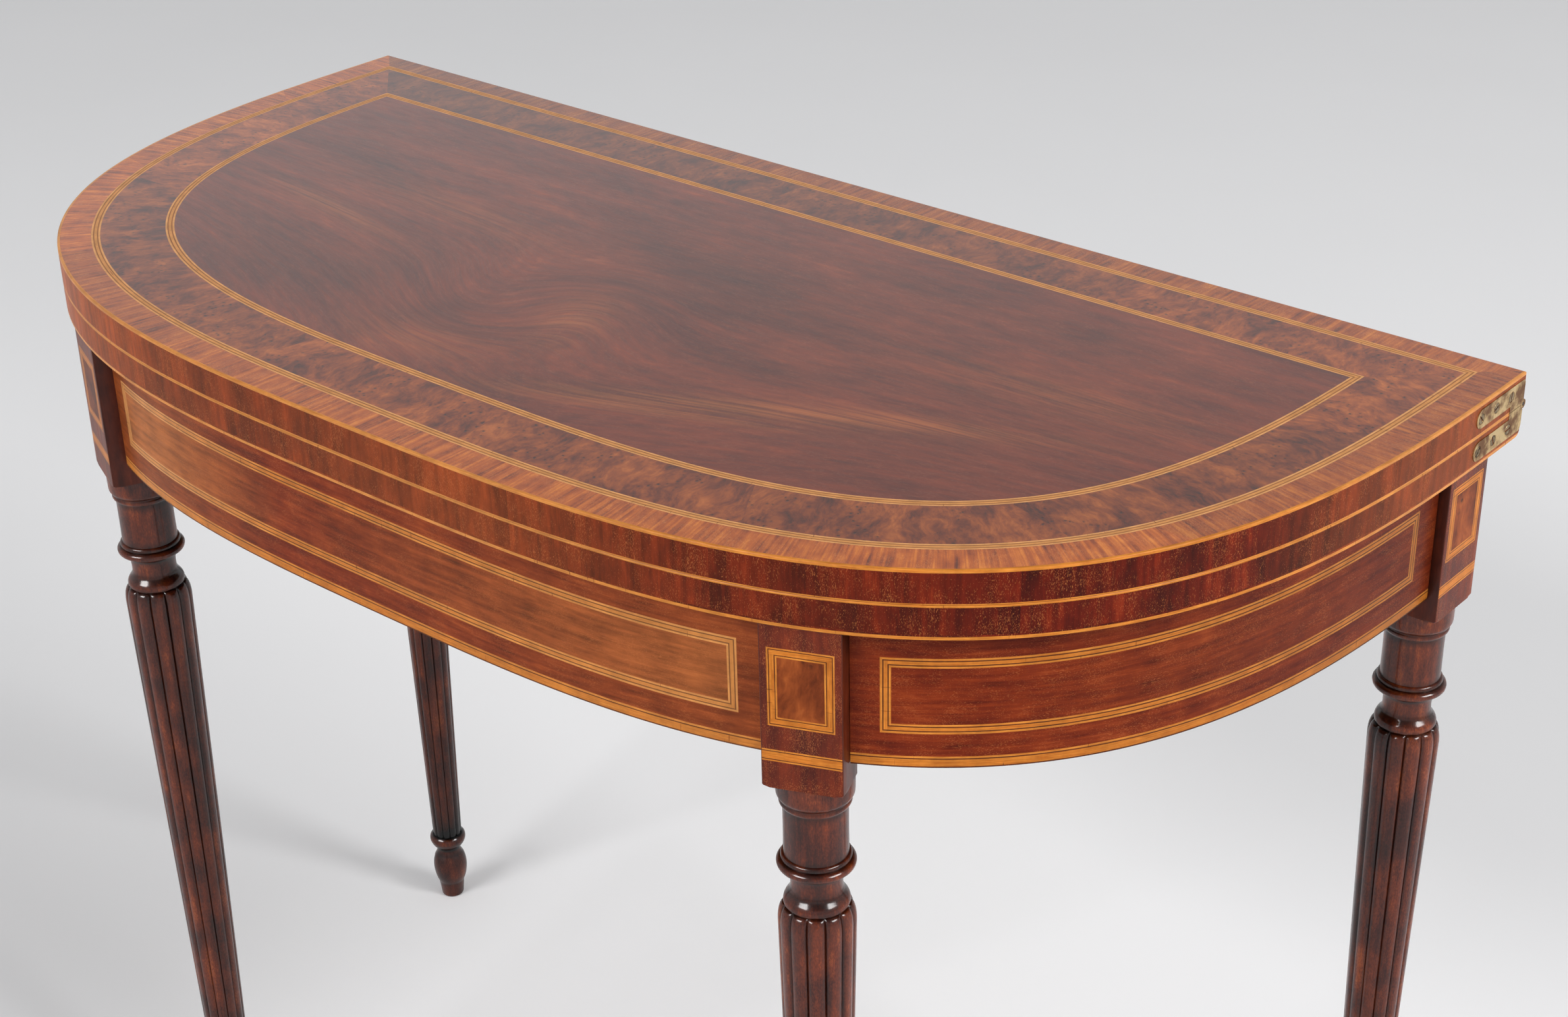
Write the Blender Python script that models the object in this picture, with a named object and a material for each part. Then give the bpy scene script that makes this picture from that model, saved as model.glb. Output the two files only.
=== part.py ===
"""A D-shaped folding card table with reeded legs, in metres, +Z up.

The origin is on the floor, under the middle of the table. The front is at -Y.
The upper leaf folds back about the hinge pins at the back edge, and both rear
legs swing out behind the table on fly rails to carry it.
"""
import math

import bmesh
import bpy
from mathutils import Vector

# Overall sizes
TABLE_WIDTH = 0.920
TABLE_DEPTH = 0.446
TABLE_HEIGHT = 0.728
OUTLINE_POWER = 3.12
FIT_GAP = 0.0003
CUT_OVERRUN = 0.003

# Leaves and playing surface
LEAF_THICKNESS = 0.019
LEAF_GAP = 0.0003
LEAF_EDGE_GAP = 0.0006
LOWER_BACK_ROUND = 0.004
BAIZE_BORDER = 0.042
BAIZE_THICKNESS = 0.0010

# Rails of the frame
RAIL_DEPTH = 0.081
RAIL_THICKNESS = 0.022
RAIL_SIDE_INSET = 0.0135
RAIL_FRONT_INSET = 0.010
BACK_RAIL_THICKNESS = 0.020
BRACE_WIDTH = 0.050
BRACE_THICKNESS = 0.020
BRACE_LIFT = 0.012
HOUSING_DEPTH = 0.006
CORNER_BLOCK_SIZE = 0.036
CORNER_BLOCK_HEIGHT = 0.060
CLEAT_LENGTH = 0.080
CLEAT_WIDTH = 0.022
CLEAT_HEIGHT = 0.020
BACK_CLEAT_STATION = 0.190
CLEAT_ANGLES = (26.0, 70.0)

# Legs
BLOCK_WIDTH = 0.043
BLOCK_HEIGHT = 0.0954
BLOCK_SET_IN = 0.0018
BLOCK_CORNER_ROUND = 0.0025
INNER_BEVEL_HEIGHT = 0.028
INNER_BEVEL_DEPTH = 0.017
FRONT_LEG_STATION = 0.2855
REAR_SIDE_OVERHANG = 0.0075
REAR_BACK_OVERHANG = 0.0190
LEG_RADIUS = 0.0209
NECK_HEIGHT = 0.0815
REED_COUNT = 12
REED_DEPTH = 0.0024
REED_CROWN = 0.0105
SHAFT_FOOT_RADIUS = 0.0119
FOOT_HEIGHT = 0.063
FOOT_RADIUS = 0.0149

# Joints between rails and legs
TENON_LENGTH = 0.012
TENON_THICKNESS = 0.008
TENON_SHOULDER = 0.012
TENON_ROOT = 0.006

# Fly rails and their wooden knuckles
FLY_DEPTH = 0.070
FLY_THICKNESS = 0.022
FLY_TOP_GAP = 0.0015
KNUCKLE_STATION = 0.075
KNUCKLE_FINGERS = 5
KNUCKLE_GAP = 0.0005
KNUCKLE_PIN_RADIUS = 0.0022

# Brass hinges let into the ends of the leaves
PLATE_LENGTH = 0.056
PLATE_HEIGHT = 0.0115
PLATE_CORNER = 0.003
PLATE_THICKNESS = 0.0018
PLATE_PROUD = 0.0003
PLATE_STEP = 0.0040
TAB_LENGTH = 0.016
LUG_SIZE = 0.008
EYE_RADIUS = 0.0027
EYE_LENGTH = 0.0045
HINGE_PIN_RADIUS = 0.0010
HINGE_SCREW_FIRST = 0.016
HINGE_SCREW_PITCH = 0.0175

# Screws
HINGE_SCREW_HEAD = 0.0030
HINGE_SCREW_SHANK = 0.0013
HINGE_SCREW_SINK = 0.0014
HINGE_SCREW_LENGTH = 0.014
WOOD_SCREW_HEAD = 0.0045
WOOD_SCREW_SHANK = 0.0020
WOOD_SCREW_SINK = 0.0028
WOOD_SCREW_BITE = 0.012
BLOCK_SCREW_STATION = 0.036

# Counts of facets
LEAF_STEPS = 60
FRONT_RAIL_STEPS = 16
SIDE_RAIL_STEPS = 20
CLEAT_STEPS = 4
TURNED_SIDES = 24
REED_POINTS = 4
PIN_SIDES = 12
EYE_SIDES = 16
KNUCKLE_ARC_STEPS = 10
PLATE_ARC_STEPS = 6
BACK_ROUND_STEPS = 4
BEVEL_STEPS = 4
SMOOTH_ANGLE = math.radians(32.0)

# Turned neck: share of NECK_HEIGHT below the block, share of LEG_RADIUS
NECK_PROFILE_SHARES = (
    (0.0, 0.990), (0.155, 0.990), (0.178, 0.900), (0.195, 0.915), (0.215, 0.912),
    (0.228, 0.823), (0.598, 0.823), (0.612, 0.885), (0.634, 0.900),
    (0.666, 1.005), (0.698, 0.950), (0.720, 0.790), (0.748, 0.680),
    (0.795, 0.664), (0.845, 0.700), (0.895, 0.760), (0.945, 0.822), (0.980, 0.848),
)
# Reed crowns: share of REED_CROWN below the neck, share of LEG_RADIUS, share of REED_DEPTH
CROWN_PROFILE_SHARES = (
    (0.0, 0.830, 0.10), (0.12, 0.905, 0.65), (0.40, 0.975, 1.05), (1.0, 1.0, 1.0),
)
# Radius of each point across one reed, from its groove: share of REED_DEPTH taken off
REED_SECTION_SHARES = (1.0, 0.28, 0.0, 0.28)
REED_FOOT_DEPTH_share = 0.45
# Turned foot: share of FOOT_HEIGHT above the floor, share of FOOT_RADIUS
FOOT_PROFILE_SHARES = (
    (0.0, 0.560), (0.025, 0.620), (0.225, 0.700), (0.350, 0.868), (0.492, 0.932),
    (0.620, 0.868), (0.720, 0.690), (0.775, 0.668), (0.830, 0.800), (0.925, 1.000),
    (0.985, 0.900),
)
CORNER_ROUND_SHARES = (0.0, 0.5, 1.0)

# Levels and places worked out from the sizes above
HALF_WIDTH = TABLE_WIDTH / 2
HINGE_AXIS_OFFSET = LEAF_EDGE_GAP / 2
BARREL_PROUD = HINGE_AXIS_OFFSET + EYE_RADIUS
BACK_Y = (TABLE_DEPTH - BARREL_PROUD) / 2
HINGE_Y = BACK_Y + HINGE_AXIS_OFFSET
UPPER_Z = TABLE_HEIGHT - LEAF_THICKNESS
JOINT_Z = UPPER_Z - LEAF_GAP / 2
LOWER_TOP = UPPER_Z - LEAF_GAP
LOWER_Z = LOWER_TOP - LEAF_THICKNESS
FRAME_TOP = LOWER_Z - FIT_GAP
RAIL_BOTTOM = FRAME_TOP - RAIL_DEPTH
BLOCK_BOTTOM = FRAME_TOP - BLOCK_HEIGHT
HALF_BLOCK = BLOCK_WIDTH / 2
REAR_LEG_X = HALF_WIDTH - REAR_SIDE_OVERHANG - HALF_BLOCK
REAR_LEG_Y = BACK_Y - REAR_BACK_OVERHANG - HALF_BLOCK
REAR_FACE_Y = REAR_LEG_Y - HALF_BLOCK
FLY_Y = REAR_FACE_Y + FLY_THICKNESS / 2
FLY_TOP = FRAME_TOP - FLY_TOP_GAP
FLY_BOTTOM = FLY_TOP - FLY_DEPTH
BACK_RAIL_BACK = REAR_FACE_Y - FIT_GAP
BACK_RAIL_FRONT = BACK_RAIL_BACK - BACK_RAIL_THICKNESS
RAIL_HALF_WIDTH = HALF_WIDTH - RAIL_SIDE_INSET
RAIL_REACH = TABLE_DEPTH - RAIL_FRONT_INSET
INNER_HALF_WIDTH = RAIL_HALF_WIDTH - RAIL_THICKNESS
INNER_REACH = RAIL_REACH - RAIL_THICKNESS

# Finishes: colour, roughness, metallic
TOP_MAHOGANY = ((0.20, 0.055, 0.025), 0.25, 0.0)
RAIL_MAHOGANY = ((0.22, 0.060, 0.030), 0.32, 0.0)
LEG_MAHOGANY = ((0.11, 0.030, 0.018), 0.25, 0.0)
SECONDARY_WOOD = ((0.38, 0.23, 0.11), 0.70, 0.0)
BRASS = ((0.55, 0.42, 0.20), 0.35, 1.0)
IRON = ((0.20, 0.19, 0.18), 0.50, 1.0)
BAIZE = ((0.03, 0.12, 0.06), 0.95, 0.0)


def clear_scene():
    """Start from an empty scene."""
    for obj in list(bpy.data.objects):
        bpy.data.objects.remove(obj, do_unlink=True)


def make_material(name, finish):
    """A Principled material for one sub-part."""
    colour, roughness, metallic = finish
    material = bpy.data.materials.new(name + "_finish")
    material.use_nodes = True
    shader = material.node_tree.nodes["Principled BSDF"]
    shader.inputs["Base Color"].default_value = (*colour, 1.0)
    shader.inputs["Roughness"].default_value = roughness
    shader.inputs["Metallic"].default_value = metallic
    return material


def make_object(name, bm, finish=None, at=(0, 0, 0), turn=0.0, parent=None):
    """Turn a bmesh into an object, placed at a world position, under its parent empty."""
    bmesh.ops.recalc_face_normals(bm, faces=bm.faces)
    mesh = bpy.data.meshes.new(name)
    bm.to_mesh(mesh)
    bm.free()
    obj = bpy.data.objects.new(name, mesh)
    bpy.context.scene.collection.objects.link(obj)
    obj.location = Vector(at)
    obj.rotation_euler[2] = turn
    if parent is not None:
        obj.parent = parent
        obj.location -= parent.location
    if finish is not None:
        mesh.materials.append(make_material(name, finish))
    return obj


def make_axis(name, at):
    """An empty that marks a joint's axis and carries what turns about it."""
    empty = bpy.data.objects.new(name, None)
    empty.location = Vector(at)
    bpy.context.scene.collection.objects.link(empty)
    return empty


def make_tool(name, bm, at=(0, 0, 0), turn=0.0):
    """A shape that only cuts or joins another object."""
    tool = make_object(name, bm, at=at, turn=turn)
    tool.hide_render = True
    tool.display_type = "WIRE"
    return tool


def combine(obj, tool, operation="DIFFERENCE"):
    """Cut an object with a tool, or join the tool to it."""
    modifier = obj.modifiers.new(tool.name, "BOOLEAN")
    modifier.operation = operation
    modifier.solver = "EXACT"
    modifier.object = tool


def add_prism(bm, points, low, high, axis="Z"):
    """Extrude an outline: along Z from (x, y) points, or along X from (y, z) points."""
    if axis == "Z":
        base = [bm.verts.new((u, v, low)) for u, v in points]
        travel = (0, 0, high - low)
    else:
        base = [bm.verts.new((low, u, v)) for u, v in points]
        travel = (high - low, 0, 0)
    face = bm.faces.new(base)
    moved = bmesh.ops.extrude_face_region(bm, geom=[face])["geom"]
    bmesh.ops.translate(bm, vec=travel, verts=[g for g in moved if isinstance(g, bmesh.types.BMVert)])


def add_box(bm, low, high):
    """A box between two corners."""
    corners = ((low[0], low[1]), (high[0], low[1]), (high[0], high[1]), (low[0], high[1]))
    add_prism(bm, corners, low[2], high[2])


def add_rings(bm, rings):
    """Skin a stack of rings. A ring may have twice or half the points of the next."""
    rows = [[bm.verts.new(point) for point in ring] for ring in rings]
    for below, above in zip(rows, rows[1:]):
        few, many = sorted((below, above), key=len)
        count = len(few)
        for i in range(count):
            j = (i + 1) % count
            if len(many) == count:
                bm.faces.new((few[i], few[j], many[j], many[i]))
            else:
                middle = many[2 * i + 1]
                bm.faces.new((few[i], middle, many[2 * i]))
                bm.faces.new((few[i], few[j], middle))
                bm.faces.new((few[j], many[2 * j], middle))
    for row in (rows[0], rows[-1]):
        bm.faces.new(row)


def add_turned(bm, profile, sides, at, direction):
    """A turned solid from (distance along its axis, radius) pairs."""
    toward = Vector(direction).normalized()
    across = toward.orthogonal().normalized()
    other = toward.cross(across)
    rings = []
    for distance, radius in profile:
        centre = Vector(at) + toward * distance
        angles = [2 * math.pi * i / sides for i in range(sides)]
        rings.append([centre + (across * math.cos(a) + other * math.sin(a)) * radius for a in angles])
    add_rings(bm, rings)


def outline_point(angle, half_width, reach):
    """A point of the D outline, by its angle round the middle of the back edge."""
    across = (abs(math.cos(angle)) / half_width) ** OUTLINE_POWER
    forward = (abs(math.sin(angle)) / reach) ** OUTLINE_POWER
    radius = (across + forward) ** (-1 / OUTLINE_POWER)
    return Vector((radius * math.cos(angle), BACK_Y - radius * math.sin(angle)))


def outline_x(y, half_width, reach):
    """How far out the D outline lies at a given y."""
    return half_width * (1 - ((BACK_Y - y) / reach) ** OUTLINE_POWER) ** (1 / OUTLINE_POWER)


def outline_arc(start, end, steps, half_width, reach):
    """Points of the D outline between two angles."""
    angles = [start + (end - start) * i / steps for i in range(steps + 1)]
    return [outline_point(a, half_width, reach) for a in angles]


def front_leg_place():
    """Centre of the right front leg, and how far its block is turned to face the outline."""
    across = FRONT_LEG_STATION / HALF_WIDTH
    forward = (1 - across ** OUTLINE_POWER) ** (1 / OUTLINE_POWER)
    on_edge = Vector((FRONT_LEG_STATION, BACK_Y - TABLE_DEPTH * forward))
    slope = Vector((
        across ** (OUTLINE_POWER - 1) / HALF_WIDTH,
        -(forward ** (OUTLINE_POWER - 1)) / TABLE_DEPTH,
    ))
    outward = slope.normalized()
    centre = on_edge - outward * (BLOCK_SET_IN + HALF_BLOCK)
    return centre, math.atan2(outward.x, -outward.y)


FRONT_LEG, FRONT_TURN = front_leg_place()


def leaf_blank(name, low, finish, parent=None, round_back=False):
    """A D-shaped board."""
    bm = bmesh.new()
    points = outline_arc(0.0, math.pi, LEAF_STEPS, HALF_WIDTH, TABLE_DEPTH)
    add_prism(bm, points, low, low + LEAF_THICKNESS)
    if round_back:
        def on_back_bottom(edge):
            return all(v.co.y > BACK_Y - FIT_GAP and v.co.z < low + FIT_GAP for v in edge.verts)
        edges = [e for e in bm.edges if on_back_bottom(e)]
        bmesh.ops.bevel(bm, geom=edges, offset=LOWER_BACK_ROUND, segments=BACK_ROUND_STEPS, profile=0.5, affect="EDGES")
    return make_object(name, bm, finish, parent=parent)


def add_baize(bm, low, high, back, grow=0.0):
    """The cloth's D, or the shallow bed for it, inside the leaf's border."""
    border = BAIZE_BORDER - grow
    front = outline_arc(0.0, math.pi, LEAF_STEPS, HALF_WIDTH - border, TABLE_DEPTH - border)
    points = [(p.x, min(p.y, BACK_Y)) for p in front]
    if back > BACK_Y:
        points = [(points[0][0], back)] + points + [(points[-1][0], back)]
    add_prism(bm, points, low, high)


def build_leaves(leaf_axis):
    """Both leaves with their beds for the cloth, and the two cloths."""
    bed = BAIZE_THICKNESS + FIT_GAP
    lower = leaf_blank("lower_leaf", LOWER_Z, TOP_MAHOGANY, round_back=True)
    upper = leaf_blank("upper_leaf", UPPER_Z, TOP_MAHOGANY, parent=leaf_axis)
    upper.location = -leaf_axis.location
    for leaf, low, high in (
        (lower, LOWER_TOP - bed, LOWER_TOP + CUT_OVERRUN),
        (upper, UPPER_Z - CUT_OVERRUN, UPPER_Z + bed),
    ):
        bm = bmesh.new()
        add_baize(bm, low, high, BACK_Y + CUT_OVERRUN, FIT_GAP)
        combine(leaf, make_tool(leaf.name + "_bed_cut", bm))
    for name, low, parent in (
        ("lower_baize", LOWER_TOP - BAIZE_THICKNESS, None),
        ("upper_baize", UPPER_Z, leaf_axis),
    ):
        bm = bmesh.new()
        add_baize(bm, low, low + BAIZE_THICKNESS, BACK_Y)
        cloth = make_object(name, bm, BAIZE, parent=parent)
        if parent is not None:
            cloth.location = -parent.location
    return lower, upper


def trim(bm, point, outward):
    """Cut a solid flat at a plane and drop what lies beyond it."""
    geometry = bm.verts[:] + bm.edges[:] + bm.faces[:]
    bmesh.ops.bisect_plane(bm, geom=geometry, plane_co=point, plane_no=outward, clear_outer=True)
    bmesh.ops.holes_fill(bm, edges=[e for e in bm.edges if e.is_boundary])


def add_rail_strip(bm, side, start, end, steps, inset, thickness, low, high):
    """A strip that follows the frame's curve, set in from the rails' outer face."""
    outer = outline_arc(start, end, steps, RAIL_HALF_WIDTH - inset, RAIL_REACH - inset)
    inner_inset = inset + thickness
    inner = outline_arc(end, start, steps, RAIL_HALF_WIDTH - inner_inset, RAIL_REACH - inner_inset)
    add_prism(bm, [(side * p.x, p.y) for p in outer + inner], low, high)


def leg_axes(side):
    """Right-hand and outward directions of a front leg's block."""
    turn = side * FRONT_TURN
    along = Vector((math.cos(turn), math.sin(turn), 0))
    return turn, along, Vector((side * FRONT_LEG.x, FRONT_LEG.y, 0))


def add_tenon(bm, side, grow):
    """A tenon on one side of a leg, or its mortise, in the leg's own frame."""
    start = HALF_BLOCK + FIT_GAP + (TENON_ROOT if grow == 0 else -TENON_LENGTH)
    end = HALF_BLOCK - TENON_LENGTH - grow
    if grow > 0:
        start = HALF_BLOCK + CUT_OVERRUN
    half = TENON_THICKNESS / 2 + grow
    low = RAIL_BOTTOM + TENON_SHOULDER - grow
    high = FRAME_TOP - TENON_SHOULDER + grow
    ends = sorted((side * start, side * end))
    add_box(bm, (ends[0], -half, low), (ends[1], half, high))


def build_front_legs():
    """The two fixed legs, mortised on both sides of the block."""
    legs = {}
    for name, side in (("front_left_leg", -1), ("front_right_leg", 1)):
        turn, _, centre = leg_axes(side)
        leg = make_object(name, leg_mesh(True), LEG_MAHOGANY, at=centre, turn=turn)
        bm = bmesh.new()
        add_tenon(bm, -1, FIT_GAP)
        add_tenon(bm, 1, FIT_GAP)
        combine(leg, make_tool(name + "_mortises", bm, at=centre, turn=turn))
        legs[side] = leg
    return legs


def add_tenon_to_rail(rail, leg_side, face):
    """Join a tenon to the rail's end at one side of a front leg."""
    turn, _, centre = leg_axes(leg_side)
    bm = bmesh.new()
    add_tenon(bm, face, 0.0)
    side_name = "left" if leg_side < 0 else "right"
    combine(rail, make_tool(rail.name + "_tenon_" + side_name, bm, at=centre, turn=turn), "UNION")


def build_rails():
    """The three curved rails, the straight back rail and the brace between."""
    shoulder = HALF_BLOCK + FIT_GAP
    leg_angle = math.atan2(BACK_Y - FRONT_LEG.y, FRONT_LEG.x)

    bm = bmesh.new()
    add_rail_strip(bm, 1, leg_angle, math.pi - leg_angle, FRONT_RAIL_STEPS, 0.0, RAIL_THICKNESS, RAIL_BOTTOM, FRAME_TOP)
    for side in (-1, 1):
        _, along, centre = leg_axes(side)
        trim(bm, centre - side * along * shoulder, side * along)
    front = make_object("front_rail", bm, RAIL_MAHOGANY)
    add_tenon_to_rail(front, -1, 1)
    add_tenon_to_rail(front, 1, -1)

    for name, side in (("left_side_rail", -1), ("right_side_rail", 1)):
        bm = bmesh.new()
        add_rail_strip(bm, side, 0.0, leg_angle, SIDE_RAIL_STEPS, 0.0, RAIL_THICKNESS, RAIL_BOTTOM, FRAME_TOP)
        _, along, centre = leg_axes(side)
        trim(bm, centre + side * along * shoulder, -side * along)
        trim(bm, Vector((0, BACK_RAIL_BACK, 0)), Vector((0, 1, 0)))
        rail = make_object(name, bm, RAIL_MAHOGANY)
        add_tenon_to_rail(rail, side, side)

    half_length = outline_x(BACK_RAIL_FRONT, INNER_HALF_WIDTH, INNER_REACH) - FIT_GAP
    bm = bmesh.new()
    add_box(bm, (-half_length, BACK_RAIL_FRONT, RAIL_BOTTOM), (half_length, BACK_RAIL_BACK, FRAME_TOP))
    back = make_object("back_rail", bm, SECONDARY_WOOD)

    brace_low = RAIL_BOTTOM + BRACE_LIFT
    brace_high = brace_low + BRACE_THICKNESS
    brace_front = BACK_Y - INNER_REACH - HOUSING_DEPTH
    brace_back = BACK_RAIL_FRONT + HOUSING_DEPTH
    half_brace = BRACE_WIDTH / 2
    bm = bmesh.new()
    add_box(bm, (-half_brace, brace_front, brace_low), (half_brace, brace_back, brace_high))
    make_object("medial_brace", bm, SECONDARY_WOOD)
    bm = bmesh.new()
    add_box(
        bm,
        (-half_brace - FIT_GAP, brace_front - FIT_GAP, brace_low - FIT_GAP),
        (half_brace + FIT_GAP, brace_back + FIT_GAP, brace_high + FIT_GAP),
    )
    housing = make_tool("brace_housings", bm)
    combine(front, housing)
    combine(back, housing)
    return back


def build_corner_blocks():
    """Glue blocks in the two back corners of the frame."""
    back = BACK_RAIL_FRONT - FIT_GAP
    edge = outline_x(back - CORNER_BLOCK_SIZE, INNER_HALF_WIDTH, INNER_REACH) - FIT_GAP
    for name, side in (("left_corner_block", -1), ("right_corner_block", 1)):
        points = (
            (side * edge, back),
            (side * (edge - CORNER_BLOCK_SIZE), back),
            (side * edge, back - CORNER_BLOCK_SIZE),
        )
        bm = bmesh.new()
        add_prism(bm, points, FRAME_TOP - CORNER_BLOCK_HEIGHT, FRAME_TOP)
        make_object(name, bm, SECONDARY_WOOD)


def add_screw(bm, at, direction, head, shank, sink, length, grow=0.0):
    """A countersunk screw driven along a direction, or the hole that it fits."""
    profile = [
        (0.0, head + grow),
        (sink, shank + grow),
        (length - shank + grow, shank + grow),
        (length + grow, shank / 2),
    ]
    if grow > 0:
        profile[0] = (grow, head + grow)
        profile.insert(0, (-CUT_OVERRUN, head + grow))
    add_turned(bm, profile, PIN_SIDES, at, direction)


def build_cleats(lower_leaf):
    """Screwed cleats that hold the lower leaf down on the frame."""
    low = FRAME_TOP - CLEAT_HEIGHT
    length = CLEAT_HEIGHT + FIT_GAP + WOOD_SCREW_BITE
    size = (WOOD_SCREW_HEAD, WOOD_SCREW_SHANK, WOOD_SCREW_SINK, length)
    inset = RAIL_THICKNESS + FIT_GAP
    places = []
    for side, side_name in ((-1, "left"), (1, "right")):
        for place, degrees in zip(("side", "front"), CLEAT_ANGLES):
            angle = math.radians(degrees)
            middle_inset = inset + CLEAT_WIDTH / 2
            middle = outline_point(angle, RAIL_HALF_WIDTH - middle_inset, RAIL_REACH - middle_inset)
            spread = CLEAT_LENGTH / 2 / (middle - Vector((0, BACK_Y))).length
            bm = bmesh.new()
            add_rail_strip(bm, side, angle - spread, angle + spread, CLEAT_STEPS, inset, CLEAT_WIDTH, low, FRAME_TOP)
            cleat = make_object(f"{side_name}_{place}_cleat", bm, SECONDARY_WOOD)
            places.append((cleat, Vector((side * middle.x, middle.y, low))))
        centre = side * BACK_CLEAT_STATION
        back = BACK_RAIL_FRONT - FIT_GAP
        half = CLEAT_LENGTH / 2
        bm = bmesh.new()
        add_box(bm, (centre - half, back - CLEAT_WIDTH, low), (centre + half, back, FRAME_TOP))
        cleat = make_object(f"{side_name}_back_cleat", bm, SECONDARY_WOOD)
        places.append((cleat, Vector((centre, back - CLEAT_WIDTH / 2, low))))
    holes = bmesh.new()
    for cleat, at in places:
        bm = bmesh.new()
        add_screw(bm, at, (0, 0, 1), *size)
        make_object(cleat.name + "_screw", bm, IRON)
        add_screw(holes, at, (0, 0, 1), *size, grow=FIT_GAP)
    tool = make_tool("cleat_screw_holes", holes)
    combine(lower_leaf, tool)
    for cleat, _ in places:
        combine(cleat, tool)


def square_radius(angle):
    """Distance from a leg's axis to the face of its square block."""
    return HALF_BLOCK / max(abs(math.cos(angle)), abs(math.sin(angle)))


def block_radius(angle, height, reach, bevelled):
    """Distance from a leg's axis to the surface of its block, whose corners are turned to a reach."""
    radius = min(square_radius(angle), reach)
    toward_back = -math.cos(angle)
    if bevelled and toward_back > 0:
        rise = min((height - BLOCK_BOTTOM) / INNER_BEVEL_HEIGHT, 1.0)
        bevel_y = HALF_BLOCK - INNER_BEVEL_DEPTH * (1 - rise)
        radius = min(radius, max(LEG_RADIUS, bevel_y / toward_back))
    return radius


def ring(sides, height, radius_at):
    """A ring of points round a leg's axis. Its first point faces outward, at -Y."""
    points = []
    for i in range(sides):
        angle = 2 * math.pi * i / sides
        radius = radius_at(i, angle)
        points.append((radius * math.sin(angle), -radius * math.cos(angle), height))
    return points


def leg_mesh(inner_bevel):
    """A leg on its own axis: foot, reeded shaft, turned neck and square block."""
    reed_top = BLOCK_BOTTOM - NECK_HEIGHT
    shaft_top = reed_top - REED_CROWN
    reed_sides = REED_COUNT * REED_POINTS
    rings = []
    for height_share, radius_share in FOOT_PROFILE_SHARES:
        radius = radius_share * FOOT_RADIUS
        rings.append(ring(TURNED_SIDES, height_share * FOOT_HEIGHT, lambda i, a, r=radius: r))

    def reed_ring(height, crest, depth):
        def radius_at(i, angle):
            return crest - depth * REED_SECTION_SHARES[i % REED_POINTS]
        rings.append(ring(reed_sides, height, radius_at))

    reed_ring(FOOT_HEIGHT, SHAFT_FOOT_RADIUS, REED_DEPTH * REED_FOOT_DEPTH_share)
    for down_share, radius_share, depth_share in reversed(CROWN_PROFILE_SHARES):
        reed_ring(reed_top - down_share * REED_CROWN, radius_share * LEG_RADIUS, depth_share * REED_DEPTH)
    for down_share, radius_share in reversed(NECK_PROFILE_SHARES):
        radius = radius_share * LEG_RADIUS
        rings.append(ring(TURNED_SIDES, BLOCK_BOTTOM - down_share * NECK_HEIGHT, lambda i, a, r=radius: r))

    def block_ring(height, reach):
        def radius_at(i, angle):
            return block_radius(angle, height, reach, inner_bevel)
        rings.append(ring(TURNED_SIDES, height, radius_at))

    full_reach = HALF_BLOCK * math.sqrt(2)
    for share in CORNER_ROUND_SHARES:
        angle = share * math.pi / 2
        reach = full_reach - BLOCK_CORNER_ROUND * (1 - math.sin(angle))
        block_ring(BLOCK_BOTTOM + BLOCK_CORNER_ROUND * (1 - math.cos(angle)), reach)
    if inner_bevel:
        for step in range(1, BEVEL_STEPS + 1):
            block_ring(BLOCK_BOTTOM + INNER_BEVEL_HEIGHT * step / BEVEL_STEPS, full_reach)
    block_ring(FRAME_TOP, full_reach)
    bm = bmesh.new()
    add_rings(bm, rings)
    return bm


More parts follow.
